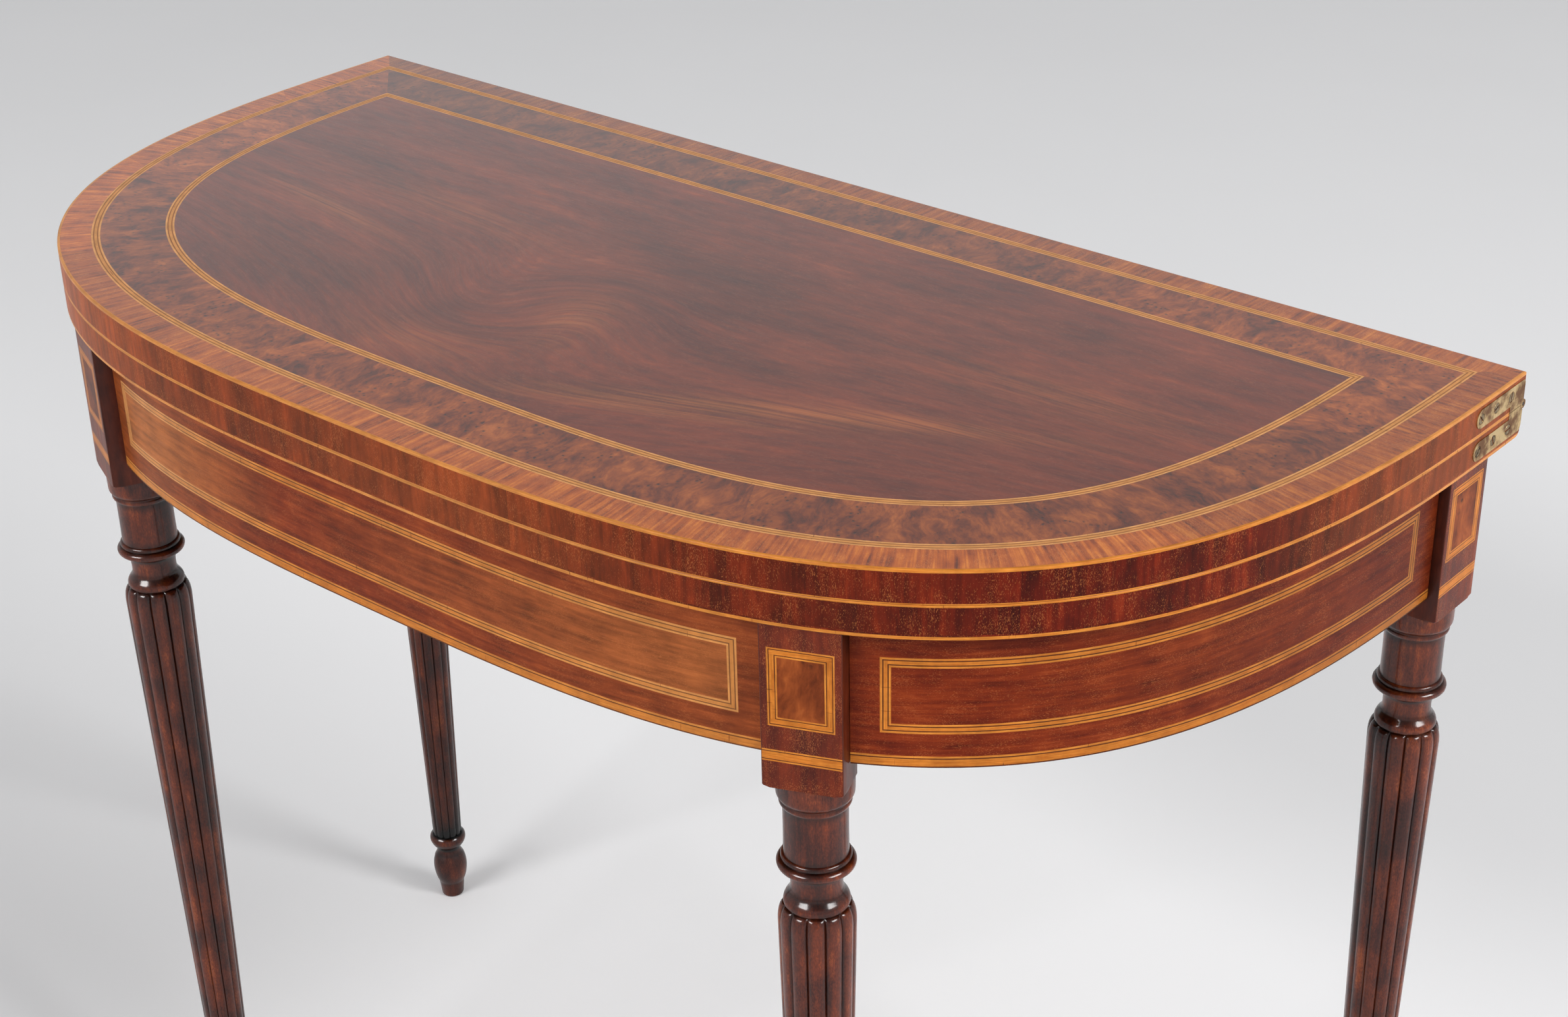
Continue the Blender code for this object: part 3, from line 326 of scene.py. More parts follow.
def shade(red, green, blue):
    """A colour as seen on a screen, from 0 to 255, as the renderer's linear one."""
    linear = []
    for value in (red, green, blue):
        share = value / 255
        linear.append(share / 12.92 if share <= 0.04045 else ((share + 0.055) / 1.055) ** 2.4)
    return (*linear, 1.0)


def add_object(name, data):
    """A new object in the scene."""
    obj = bpy.data.objects.new(name, data)
    bpy.context.scene.collection.objects.link(obj)
    return obj


def fill_ramp(node, stops):
    """Give a colour ramp its (place, colour) stops."""
    elements = node.color_ramp.elements
    elements[0].position, elements[0].color = stops[0]
    elements[1].position, elements[1].color = stops[-1]
    for place, colour in stops[1:-1]:
        elements.new(place).color = colour


class Graph:
    """A material and short calls that add nodes to it."""

    def __init__(self, name):
        self.material = bpy.data.materials.new(name)
        self.material.use_nodes = True
        self.tree = self.material.node_tree
        self.shader = self.tree.nodes["Principled BSDF"]

    def feed(self, socket, value):
        """Link a socket to an output, or set it."""
        if isinstance(value, bpy.types.NodeSocket):
            self.tree.links.new(value, socket)
        else:
            socket.default_value = value

    def add(self, kind, inputs, **settings):
        """A new node with its settings and inputs, by socket name or number."""
        node = self.tree.nodes.new(kind)
        for key, value in settings.items():
            setattr(node, key, value)
        for key, value in inputs.items():
            self.feed(node.inputs[key], value)
        return node

    def surface(self, name, value):
        """Link or set an input of the surface."""
        self.feed(self.shader.inputs[name], value)

    def math(self, operation, first, second):
        return self.add("ShaderNodeMath", {0: first, 1: second}, operation=operation).outputs[0]

    def plus(self, first, second):
        return self.math("ADD", first, second)

    def times(self, first, second):
        return self.math("MULTIPLY", first, second)

    def swing(self, value, share):
        """A noise value as a swing about zero."""
        return self.times(self.math("SUBTRACT", value, 0.5), share)

    def vector(self, operation, first, second):
        return self.add("ShaderNodeVectorMath", {0: first, 1: second}, operation=operation).outputs[0]

    def scaled(self, vector, scales):
        """A vector with each of its parts scaled."""
        return self.vector("MULTIPLY", vector, scales)

    def moved(self, vector, offset, amount):
        """A vector pushed about by a noise colour."""
        centred = self.vector("SUBTRACT", offset, (0.5, 0.5, 0.5))
        return self.vector("ADD", vector, self.scaled(centred, (amount, amount, amount)))

    def noise(self, vector, scales, detail=2.0, roughness=0.5, output="Fac"):
        """Noise with its own number of swings a metre along each axis."""
        place = self.scaled(vector, scales)
        inputs = {"Vector": place, "Scale": 1.0, "Detail": detail, "Roughness": roughness}
        return self.add("ShaderNodeTexNoise", inputs).outputs[output]

    def remap(self, value, low, high, to_low=0.0, to_high=1.0):
        """A value stretched from one range to another, and held inside it."""
        inputs = {"Value": value, "From Min": low, "From Max": high, "To Min": to_low, "To Max": to_high}
        return self.add("ShaderNodeMapRange", inputs, interpolation_type="SMOOTHSTEP").outputs[0]

    def ramp(self, factor, colours):
        """A colour from a factor, by screen colours spread evenly from 0 to 1."""
        node = self.add("ShaderNodeValToRGB", {"Fac": factor})
        last = len(colours) - 1
        fill_ramp(node, [(i / last, shade(*colour)) for i, colour in enumerate(colours)])
        return node.outputs[0]

    def mix(self, factor, first, second, blend="MIX"):
        """Two colours mixed by a factor."""
        inputs = {0: factor, 6: first, 7: second}
        return self.add("ShaderNodeMix", inputs, data_type="RGBA", blend_type=blend).outputs[2]

    def grey(self, value):
        """A number as a colour."""
        return self.add("ShaderNodeCombineColor", {0: value, 1: value, 2: value}).outputs[0]

    def tinted(self, colour, value):
        """A colour made darker or lighter by a number."""
        return self.mix(1.0, colour, self.grey(value), "MULTIPLY")

    def bump(self, height, distance):
        """Turn a height into a bump on the surface, in metres."""
        node = self.add("ShaderNodeBump", {"Height": height, "Distance": distance, "Strength": 1.0})
        self.surface("Normal", node.outputs[0])

    def grain_space(self):
        """The wood's own space from the grain map: x across the grain, z along it."""
        uv = self.add("ShaderNodeUVMap", {}, uv_map="grain").outputs[0]
        parts = self.add("ShaderNodeSeparateXYZ", {0: uv}).outputs
        return self.add("ShaderNodeCombineXYZ", {0: parts[0], 2: parts[1]}).outputs[0]

    def solid_space(self, turn=STRAIGHT):
        """The object's space, turned so that the wood's grain runs along z."""
        place = self.add("ShaderNodeTexCoord", {}).outputs["Object"]
        return self.add("ShaderNodeMapping", {"Vector": place, "Rotation": turn}).outputs[0]

    def piece(self):
        """The piece's tone, about 1, and how much its colour has faded, from 0 to 1."""
        uv = self.add("ShaderNodeUVMap", {}, uv_map="piece").outputs[0]
        parts = self.add("ShaderNodeSeparateXYZ", {0: uv}).outputs
        return self.plus(self.times(parts[0], 0.9), 0.55), parts[1]


def polish(graph, roughness, coat=0.0, coat_roughness=0.1, specular=0.5):
    """Set the constants of a polished or bare surface."""
    inputs = graph.shader.inputs
    inputs["Roughness"].default_value = roughness
    inputs["Coat Weight"].default_value = coat
    inputs["Coat Roughness"].default_value = coat_roughness
    inputs["Specular IOR Level"].default_value = specular


def speckle(g, place, specks):
    """How much a place has of short pores along the grain, gathered in patches."""
    across, along, low, patch_across, patch_along, share = specks
    dots = g.noise(place, (across, across, along), 1.0, 0.5)
    patches = g.noise(place, (patch_across, patch_across, patch_along), 3.0, 0.6)
    dots = g.plus(dots, g.remap(patches, 0.35, 0.65, -0.07, 0.05))
    return g.remap(dots, low, low + 0.05, 0.0, share)


def wood(name, colours, turn=None, toned=True, streak=(150, 5, 0.6), ribbon=(30, 10, 0.4),
         mottle=(160, 90, 0.3), specks=None, speck_colour=None, faded=None, veins=None,
         gloss=TOP_GLOSS, ripple=0.0):
    """A cut and polished wood, solid where a turn of its grain is given, or else a veneer.

    Streaks, ribbons and mottle are swings a metre across and along, and their share.
    """
    g = Graph(name)
    place = g.grain_space() if turn is None else g.solid_space(turn)
    place = g.moved(place, g.noise(place, DRIFT_SWINGS, output="Color"), DRIFT)
    blend = 0.5
    for across, along, share in (streak, ribbon, mottle):
        swings = g.noise(place, (across, across, along), 5.0, 0.6)
        swings = g.remap(swings, 0.26, 0.74, -share / 2, share / 2)
        blend = g.plus(swings, blend)
    fibre = g.noise(place, FIBRE_SWINGS, 3.0, 0.6)
    blend = g.plus(blend, g.swing(fibre, FIBRE_SHARE))
    colour = g.ramp(blend, colours)
    if toned:
        tone, fade = g.piece()
        if veins is not None:
            lines = g.noise(place, (veins[0], veins[0], veins[1]), 4.0, 0.6)
            fade = g.times(fade, g.remap(lines, 0.36, 0.64, 0.1, 2.1))
        if faded is not None:
            pale = g.tinted(shade(*faded), g.remap(blend, 0.0, 1.0, 0.62, 1.38))
            colour = g.mix(fade, colour, pale)
        colour = g.tinted(colour, tone)
    height = g.times(fibre, 0.35)
    if specks is not None:
        marks = speckle(g, place, specks)
        colour = g.mix(marks, colour, shade(*speck_colour))
        height = g.math("SUBTRACT", height, g.times(marks, 0.8))
    g.surface("Base Color", colour)
    polish(g, *gloss)
    g.surface("Roughness", g.remap(fibre, 0.3, 0.7, gloss[0] - 0.04, gloss[0] + 0.05))
    if ripple > 0:
        waves = g.noise(place, WAVE_SWINGS)
        height = g.plus(height, g.times(waves, ripple / WOOD_RELIEF))
    g.bump(height, WOOD_RELIEF)
    return g.material


def burr(name, colours, knot, scale=1.0, gloss=TOP_GLOSS):
    """Burr veneer: swirling growth lines with clusters of dark eyes."""
    g = Graph(name)
    whole = g.scaled(g.grain_space(), (scale, scale, scale))
    place = g.moved(whole, g.noise(whole, (24, 24, 24), 2.0, output="Color"), 0.030)
    place = g.moved(place, g.noise(place, (110, 110, 110), 3.0, output="Color"), 0.005)
    clouds = g.noise(place, (32, 32, 24), 4.0, 0.6)
    curls = g.noise(place, (95, 95, 60), 3.0, 0.6)
    hair = g.noise(place, (340, 340, 90), 4.0, 0.65)
    fine = g.noise(place, (900, 900, 500), 3.0, 0.6)
    blend = g.plus(g.remap(clouds, 0.28, 0.72, -0.24, 0.24), g.remap(hair, 0.28, 0.72, -0.15, 0.15))
    blend = g.plus(blend, g.remap(curls, 0.3, 0.7, -0.18, 0.18))
    blend = g.plus(g.plus(blend, g.swing(fine, 0.36)), 0.5)
    colour = g.ramp(blend, colours)
    flat = g.moved(whole, g.noise(whole, (300, 300, 300), 2.0, output="Color"), 0.0022)
    cells = g.add("ShaderNodeTexVoronoi", {"Vector": g.scaled(flat, (290, 290, 290)), "Scale": 1.0}).outputs
    some = g.remap(g.add("ShaderNodeSeparateColor", {0: cells["Color"]}).outputs[0], 0.35, 0.5)
    cluster = g.times(some, g.remap(g.noise(flat, (30, 30, 30), 3.0, 0.6), 0.47, 0.56))
    eyes = g.times(g.remap(cells["Distance"], 0.30, 0.14), cluster)
    halo = g.times(g.remap(cells["Distance"], 0.60, 0.32), cluster)
    for share in (g.times(halo, 0.22), g.times(eyes, 0.85)):
        colour = g.mix(share, colour, shade(*knot))
    colour = g.tinted(colour, g.piece()[0])
    g.surface("Base Color", colour)
    polish(g, *gloss)
    g.bump(g.math("SUBTRACT", g.times(fine, 0.4), g.times(eyes, 0.5)), 0.05 * MM)
    return g.material


def string_wood(name, middle, light, tick, tick_share, pale):
    """A thin string of boxwood or dyed wood, with small dark breaks, and paler where it has faded."""
    g = Graph(name)
    middle, light, tick, pale = (shade(*colour) for colour in (middle, light, tick, pale))
    place = g.grain_space()
    streaks = g.noise(place, (1600, 1600, 60), 4.0, 0.65)
    ticks = g.remap(g.noise(place, (70, 70, 800), 1.0), 0.70, 0.74)
    worn = g.remap(g.noise(place, (60, 60, 60), 4.0, 0.7), 0.32, 0.68, 0.80, 1.10)
    colour = g.mix(g.remap(streaks, 0.3, 0.7), middle, light)
    tone, fade = g.piece()
    colour = g.mix(fade, colour, pale)
    colour = g.mix(g.times(ticks, tick_share), colour, tick)
    colour = g.tinted(g.tinted(colour, tone), worn)
    g.surface("Base Color", colour)
    polish(g, *STRING_GLOSS)
    g.bump(streaks, 0.03 * MM)
    return g.material


def make_brass():
    """Old brass: yellow where it is rubbed, brown and dull elsewhere."""
    g = Graph("old_brass")
    place = g.solid_space()
    patches = g.noise(place, (90, 90, 90), 4.0, 0.6)
    scratches = g.noise(place, (300, 220, 2600), 3.0, 0.6)
    rubbed = g.remap(g.plus(patches, g.times(scratches, 0.14)), 0.44, 0.68)
    colour = g.mix(rubbed, shade(112, 76, 46), shade(206, 176, 122))
    g.surface("Base Color", colour)
    g.surface("Metallic", g.remap(rubbed, 0.0, 1.0, 0.9, 1.0))
    polish(g, 0.35)
    g.surface("Roughness", g.remap(patches, 0.35, 0.7, 0.52, 0.26))
    g.bump(g.plus(scratches, g.times(patches, 0.6)), 0.06 * MM)
    return g.material


def old_metal(name, worn, dull, metal):
    """The old metal of screws and pins, worn in spots and dull between them."""
    g = Graph(name)
    place = g.solid_space()
    spots = g.noise(place, (420, 420, 420), 5.0, 0.65)
    colour = g.mix(g.remap(spots, 0.35, 0.65), shade(*dull), shade(*worn))
    g.surface("Base Color", colour)
    g.surface("Metallic", g.remap(spots, 0.3, 0.6, metal - 0.3, metal))
    polish(g, 0.4)
    g.surface("Roughness", g.remap(spots, 0.3, 0.7, 0.55, 0.33))
    g.bump(spots, 0.08 * MM)
    return g.material


def make_baize():
    """Green wool cloth with a short nap."""
    g = Graph("green_baize")
    place = g.solid_space()
    nap = g.noise(place, (2600, 2600, 2600), 3.0, 0.7)
    weave = g.noise(place, (900, 900, 900), 2.0, 0.6)
    worn = g.noise(place, (9, 9, 9), 4.0, 0.6)
    colour = g.mix(g.remap(nap, 0.3, 0.7), shade(26, 62, 40), shade(62, 106, 72))
    colour = g.mix(g.remap(worn, 0.45, 0.75, 0.0, 0.35), colour, shade(88, 116, 78))
    g.surface("Base Color", colour)
    polish(g, 0.95, specular=0.2)
    g.shader.inputs["Sheen Weight"].default_value = 0.35
    g.shader.inputs["Sheen Roughness"].default_value = 0.5
    g.bump(g.plus(nap, weave), 0.25 * MM)
    return g.material


def make_floor():
    """A pale, even studio floor."""
    g = Graph("pale_floor")
    place = g.solid_space()
    mottle = g.noise(place, (3, 3, 3), 3.0)
    g.surface("Base Color", g.mix(mottle, shade(237, 237, 238), shade(240, 240, 241)))
    polish(g, 0.85, specular=0.1)
    return g.material


OAK = ((112, 76, 44), (146, 106, 64), (164, 124, 80), (190, 152, 104))
OAK_GRAIN = {"streak": (120, 3, 0.6), "ribbon": (20, 5, 0.3), "gloss": BARE_GLOSS}
OAK_BLOCK = {"toned": False, **OAK_GRAIN}
PALE_PORE = (198, 120, 64)
FINISHES = {
    "flame": wood(
        "flame_veneer", ((36, 11, 6), (88, 33, 17), (122, 50, 24), (172, 84, 42)),
        streak=(95, 5, 0.20), ribbon=(28, 9, 0.34), mottle=(230, 70, 0.20),
        specks=(2400, 420, 0.62, 120, 60, 0.3), speck_colour=(146, 84, 50), ripple=0.05 * MM,
        faded=(168, 94, 42), veins=(420, 3),
    ),
    "crossband": wood(
        "crossband_veneer", ((94, 36, 8), (154, 70, 14), (182, 91, 21), (214, 125, 38)),
        streak=(420, 14, 0.72), ribbon=(60, 26, 0.35), mottle=(120, 90, 0.35),
        specks=(4400, 700, 0.60, 80, 60, 0.26), speck_colour=(230, 160, 88), ripple=0.04 * MM,
    ),
    "burr": burr(
        "burr_veneer", ((50, 20, 11), (108, 47, 20), (146, 72, 26), (182, 100, 40)),
        (38, 20, 18),
    ),
    "block_burr": burr(
        "block_burr_veneer", ((58, 22, 9), (104, 46, 18), (136, 66, 27), (168, 92, 42)),
        (44, 18, 14), scale=0.55, gloss=SIDE_GLOSS,
    ),
    "boxwood": string_wood(
        "boxwood_string", (172, 96, 28), (210, 136, 55), (92, 42, 16), 0.7, (208, 152, 98),
    ),
    "golden": string_wood(
        "golden_string", (168, 90, 25), (204, 127, 46), (92, 42, 16), 0.7, (198, 140, 84),
    ),
    "ebony": string_wood(
        "dyed_string", (68, 29, 11), (98, 46, 18), (44, 20, 10), 0.5, (156, 102, 58),
    ),
    "edge": wood(
        "edge_veneer", ((34, 6, 3), (66, 13, 5), (94, 22, 7), (130, 42, 15)),
        streak=(220, 12, 0.38), ribbon=(48, 9, 0.48), mottle=(200, 90, 0.25), gloss=SIDE_GLOSS,
        specks=(4200, 900, 0.635, 60, 40, 0.44), speck_colour=PALE_PORE, faded=(188, 98, 44),
    ),
    "rail": wood(
        "rail_veneer", ((56, 13, 5), (96, 29, 10), (120, 43, 15), (152, 68, 28)),
        streak=(260, 9, 0.40), ribbon=(34, 30, 0.4), mottle=(420, 60, 0.30), gloss=SIDE_GLOSS,
        specks=(4000, 1000, 0.62, 80, 55, 0.24), speck_colour=PALE_PORE, faded=(178, 110, 58),
    ),
    "block": wood(
        "block_veneer", ((48, 12, 6), (80, 25, 9), (104, 36, 13), (134, 54, 23)),
        streak=(200, 12, 0.35), ribbon=(48, 9, 0.4), mottle=(200, 90, 0.3), gloss=(0.36, 0.06, 0.2, 0.14),
        specks=(4200, 1100, 0.61, 70, 50, 0.36), speck_colour=PALE_PORE, faded=(150, 84, 50),
    ),
    "flank": wood(
        "block_side_veneer", ((34, 11, 5), (58, 19, 7), (80, 29, 11), (108, 44, 19)),
        streak=(200, 12, 0.35), ribbon=(48, 9, 0.4), mottle=(200, 90, 0.3), gloss=(0.36, 0.15, 0.16, 0.14),
    ),
    "plain": wood(
        "plain_mahogany", ((54, 22, 14), (84, 36, 22), (104, 48, 30), (132, 68, 42)),
        streak=(110, 4, 0.5), specks=(1300, 200, 0.58, 60, 30, 0.5), speck_colour=(44, 18, 12),
        gloss=(0.5, 0.0, 0.2, 0.4),
    ),
    "turned": wood(
        "turned_mahogany", ((18, 6, 4), (54, 18, 8), (92, 36, 14), (144, 70, 28)),
        turn=STRAIGHT, streak=(150, 8, 0.34), ribbon=(50, 26, 0.5), mottle=(1300, 500, 0.26),
        specks=(2600, 900, 0.62, 90, 50, 0.25), speck_colour=(24, 9, 5), gloss=(0.34, 0.6, 0.15, 0.06),
    ),
    "secondary": wood("secondary_wood", OAK, **OAK_GRAIN),
    "secondary_x": wood("secondary_wood_across", OAK, turn=(0.0, math.pi / 2, 0.0), **OAK_BLOCK),
    "secondary_y": wood("secondary_wood_deep", OAK, turn=(math.pi / 2, 0.0, 0.0), **OAK_BLOCK),
    "brass": make_brass(),
    "iron": old_metal("old_iron", (92, 84, 76), (46, 38, 32), 0.9),
    "screw_brass": old_metal("screw_brass", (150, 128, 92), (74, 58, 40), 0.95),
    "baize": make_baize(),
    "floor": make_floor(),
}


class Build:
    """A mesh made face by face, each with its finish, its grain and its piece's tone."""

    def __init__(self):
        self.bm = bmesh.new()
        self.grain = self.bm.loops.layers.uv.new("grain")
        self.piece = self.bm.loops.layers.uv.new("piece")
        self.finishes = []

    def vert(self, place):
        return self.bm.verts.new(place)

    def face(self, verts, finish, grain, tones=None, fades=None):
        """A face. For each corner: its point in the wood, and if given, its tone and how faded it is."""
        face = self.bm.faces.new(verts)
        if finish not in self.finishes:
            self.finishes.append(finish)
        face.material_index = self.finishes.index(finish)
        for i, loop in enumerate(face.loops):
            loop[self.grain].uv = grain[i]
            loop[self.piece].uv = (tones[i] if tones else 0.5, fades[i] if fades else 0.0)
        return face

    def finish(self, name, body, slot, replaces=()):
        """The object, riding on its body and standing for its CAD nodes."""
        bmesh.ops.remove_doubles(self.bm, verts=self.bm.verts, dist=MERGE_DISTANCE)
        bmesh.ops.recalc_face_normals(self.bm, faces=self.bm.faces)
        mesh = bpy.data.meshes.new(name)
        self.bm.to_mesh(mesh)
        self.bm.free()
        for finish in self.finishes:
            mesh.materials.append(FINISHES[finish])
        mesh.shade_smooth()
        mesh.set_sharp_from_angle(angle=SHARP_ANGLE)
        obj = add_object(name, mesh)
        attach(obj, body)
        if replaces:
            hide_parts(*replaces)
        return obj


class DCurve:
    """The D outline from the right back corner round to the left one, by its length."""

    def __init__(self, half_width, reach):
        angles = np.linspace(0.0, math.pi, OUTLINE_SAMPLES + 1)
        cosine = np.cos(angles)
        sine = np.sin(angles)
        power = OUTLINE_POWER
        radius = ((np.abs(cosine) / half_width) ** power + (np.abs(sine) / reach) ** power) ** (-1 / power)
        self.x = radius * cosine
        self.depth = radius * sine
        slope_x = np.sign(self.x) * np.abs(self.x) ** (power - 1) / half_width ** power
        slope_depth = np.abs(self.depth) ** (power - 1) / reach ** power
        size = np.hypot(slope_x, slope_depth)
        self.out_x = slope_x / size
        self.out_depth = slope_depth / size
        steps = np.hypot(np.diff(self.x), np.diff(self.depth))
        self.lengths = np.concatenate(((0.0,), np.cumsum(steps)))
        self.whole = self.lengths[-1]

    def set_in(self, inset):
        """The curve's dense points moved inward by a distance: their x and depth from the back."""
        return self.x - self.out_x * inset, self.depth - self.out_depth * inset

    def start(self, inset, back_inset):
        """The length at which the set-in curve is that far from the back edge."""
        depth = self.set_in(inset)[1]
        half = OUTLINE_SAMPLES // 2
        return float(np.interp(back_inset, depth[:half], self.lengths[:half]))

    def points(self, lengths, inset=0.0):
        """(x, y) of the set-in curve at each of some lengths."""
        x, depth = self.set_in(inset)
        return [
            (float(u), BACK_Y - float(v))
            for u, v in zip(np.interp(lengths, self.lengths, x), np.interp(lengths, self.lengths, depth))
        ]

    def length_where(self, values, target):
        """The length by the right front leg at which some values that fall along the curve reach a target."""
        low, high = (int(share * OUTLINE_SAMPLES) for share in FRONT_SEARCH)
        return float(np.interp(-target, -values[low:high], self.lengths[low:high]))


class Row:
    """One line round a leaf: along the curve at an inset and level, then back along the straight edge."""

    def __init__(self, build, curve, inset, back_inset, level, travel, cuts):
        first = curve.start(inset, back_inset)
        self.lengths = np.linspace(first, curve.whole - first, LEAF_STEPS + 1)
        self.travel = travel
        self.verts = [build.vert((x, y, level)) for x, y in curve.points(self.lengths, inset)]
        right = self.verts[0].co.x
        left = self.verts[-1].co.x
        self.cuts = [right, *(min(max(x, left), right) for x in cuts), left]
        middle = [build.vert((x, BACK_Y - back_inset, level)) for x in self.cuts[1:-1]]
        self.back = [self.verts[0], *middle, self.verts[-1]]
        self.place = (back_inset, level)


def joint_number(joints, value):
    """Which piece of a jointed band a place belongs to."""
    return sum(value > joint for joint in joints)


def piece_tone(number, spread):
    """A tone for a numbered piece of veneer, about 0.5, the same each run."""
    rate, start, size = SCATTER
    wobble = math.sin(number * rate + start) * size
    return 0.5 + spread * (wobble - math.floor(wobble) - 0.5)


def piece_shift(number):
    """How far along the flitch a numbered piece of veneer was cut, so that no two are alike."""
    return PIECE_STEP * number


def strip_grain(kind, length, travel, number):
    """Where a corner of a strip lies in its wood. Box and dyed strings run along it, the rest across."""
    shift = piece_shift(number)
    if kind in ("boxwood", "ebony"):
        return (travel + shift, length + shift)
    return (length + shift, travel + shift)


def faded(share, fades):
    """How faded a side veneer is, some share of the way round."""
    return float(np.interp(share, FADE_SHARES, fades))


def skin(build, above, below, finish, joints=(), back_joints=(), tone=0.0, spread=0.0, keep_back=None,
         back_tone=(0.0, 0.0), fade=None, offsets=()):
    """The strip between two rows, round the curve and along the back edge.

    On the back edge, keep_back "ends" leaves out the cloth's width, and "none" all of it.
    """
    whole = above.lengths[0] + above.lengths[-1]
    for i in range(LEAF_STEPS):
        share = (above.lengths[i] + above.lengths[i + 1]) / 2 / whole
        number = joint_number(joints, share)
        value = piece_tone(number, spread) + tone + (offsets[number] if offsets else 0.0)
        corners = ((above, i), (above, i + 1), (below, i + 1), (below, i))
        grain = [strip_grain(finish, row.lengths[j], row.travel, number) for row, j in corners]
        fades = [fade] * 4
        if fade is None:
            fades = [faded(row.lengths[j] / whole, EDGE_FADES) for row, j in corners]
        build.face([row.verts[j] for row, j in corners], finish, grain, [value] * 4, fades)
    if above.place == below.place:
        return
    if above.place[0] == below.place[0] == 0 and keep_back == "none":
        return
    for i in range(len(above.back) - 1):
        middle = (above.cuts[i] + above.cuts[i + 1]) / 2
        if keep_back == "ends" and abs(middle) < BED_HALF_WIDTH:
            continue
        number = BACK_PIECES + joint_number(back_joints, middle)
        value = piece_tone(number, spread) + tone
        corners = ((above, i), (above, i + 1), (below, i + 1), (below, i))
        grain = [strip_grain(finish, row.cuts[j], row.travel, number) for row, j in corners]
        darker = back_tone if above.place[1] == below.place[1] else (0.0, 0.0)
        tones = [value + float(np.interp(row.cuts[j], BACK_TONE_PLACES, darker)) for row, j in corners]
        build.face([row.back[j] for row, j in corners], finish, grain, tones, [fade or 0.0] * 4)


def cap(build, row, finish):
    """The flat face inside a row, with its grain along the table."""
    verts = row.verts + row.back[-2:0:-1]
    grain = [(v.co.y, v.co.x) for v in verts]
    build.face(verts, finish, grain)


def flame_grain(x, depth):
    """Across and along the grain of the flame veneer, at a place on the top."""
    dx = x - SWIRL_PLACE[0]
    dy = depth - SWIRL_PLACE[1]
    turn = SWIRL_TURN * math.exp(-(dx * dx + dy * dy) / SWIRL_SIZE ** 2)
    x_turned = SWIRL_PLACE[0] + dx * math.cos(turn) - dy * math.sin(turn)
    depth_turned = SWIRL_PLACE[1] + dx * math.sin(turn) + dy * math.cos(turn)
    rise = min(max((depth_turned - PLUME_START) / (PLUME_END - PLUME_START), 0.0), 1.0)
    rise = rise * rise * (3 - 2 * rise)
    reach = math.hypot(x_turned - PLUME_X, PLUME_WIDTH) - PLUME_WIDTH
    return depth_turned + PLUME_SLOPE * rise * reach, x_turned


def flame_look(x, depth):
    """Tone of the flame veneer and how pale it is, at a place on the top."""
    tone = 0.5
    pale = 0.0
    for cloud_x, cloud_depth, half_length, half_width, turn, change in CLOUDS:
        place = Matrix.Rotation(-math.radians(turn), 2) @ Vector((x - cloud_x, depth - cloud_depth))
        share = math.exp(-(place.x / half_length) ** 2 - (place.y / half_width) ** 2)
        if change > 0:
            pale += change * share
        else:
            tone += change * share
    return tone, pale


def add_flame_face(build, verts):
    """One face of the flame veneer."""
    grain = [flame_grain(v.co.x, BACK_Y - v.co.y) for v in verts]
    tones, fades = zip(*(flame_look(v.co.x, BACK_Y - v.co.y) for v in verts))
    build.face(verts, "flame", grain, tones, fades)


def add_flame(build, row):
    """The centre of the top, as columns from the curve to the back line."""
    back_y = BACK_Y - row.place[0]
    columns = []
    for vert in row.verts:
        column = [vert]
        for step in range(1, CENTRE_STEPS + 1):
            y = vert.co.y + (back_y - vert.co.y) * step / CENTRE_STEPS
            column.append(build.vert((vert.co.x, y, row.place[1])) if abs(y - vert.co.y) > 0 else vert)
        columns.append(column)
    for i in range(1, LEAF_STEPS - 1):
        for j in range(CENTRE_STEPS):
            verts = (columns[i][j], columns[i + 1][j], columns[i + 1][j + 1], columns[i][j + 1])
            add_flame_face(build, verts)
    for corner, beside in ((0, 1), (LEAF_STEPS, LEAF_STEPS - 1)):
        for j in range(CENTRE_STEPS):
            verts = (row.verts[corner], columns[beside][j], columns[beside][j + 1])
            add_flame_face(build, verts)


def arris(radius, steps):
    """Insets and drops of the points round an edge, from the flat to the side."""
    angles = [math.pi / 2 * i / steps for i in range(steps + 1)]
    return [(radius * (1 - math.sin(a)), radius * (1 - math.cos(a))) for a in angles]


class Leaf:
    """Rows of a leaf from the middle of its top, down its edge and in under it."""

    def __init__(self, build, curve, cuts):
        self.build = build
        self.curve = curve
        self.cuts = cuts
        self.travel = 0.0
        self.last = None
        self.last_place = None

    def row(self, inset, back_inset, level, curve=None):
        """The next row."""
        if self.last_place is not None:
            self.travel += math.dist(self.last_place, (inset, level))
        self.last_place = (inset, level)
        return Row(self.build, curve or self.curve, inset, back_inset, level, self.travel, self.cuts)

    def step(self, finish, inset, back_inset, level, curve=None, **details):
        """The next row and the strip that leads to it."""
        row = self.row(inset, back_inset, level, curve)
        skin(self.build, self.last, row, finish, **details)
        self.last = row
        return row

    def lines(self, line, level):
        """The five strings of one inlaid line, from its inner side outward."""
        inset, back_inset = line
        inset += TOP_LINE_WIDTH
        back_inset += TOP_LINE_WIDTH
        for width, finish in zip(TOP_LINE_WIDTHS, LINE_FINISHES):
            inset -= width
            back_inset -= width
            self.step(finish, inset, back_inset, level, **LINE_LOOK)


def sink_faces(build, face, inward):
    """Set a leaf's joint face and back edge just below the brass let into them. Inward is up or down."""
    for vert in build.bm.verts:
        if abs(vert.co.z - face) < BRASS_STAND:
            vert.co.z = face + inward * BRASS_STAND
        vert.co.y = min(vert.co.y, BACK_Y - BRASS_STAND)


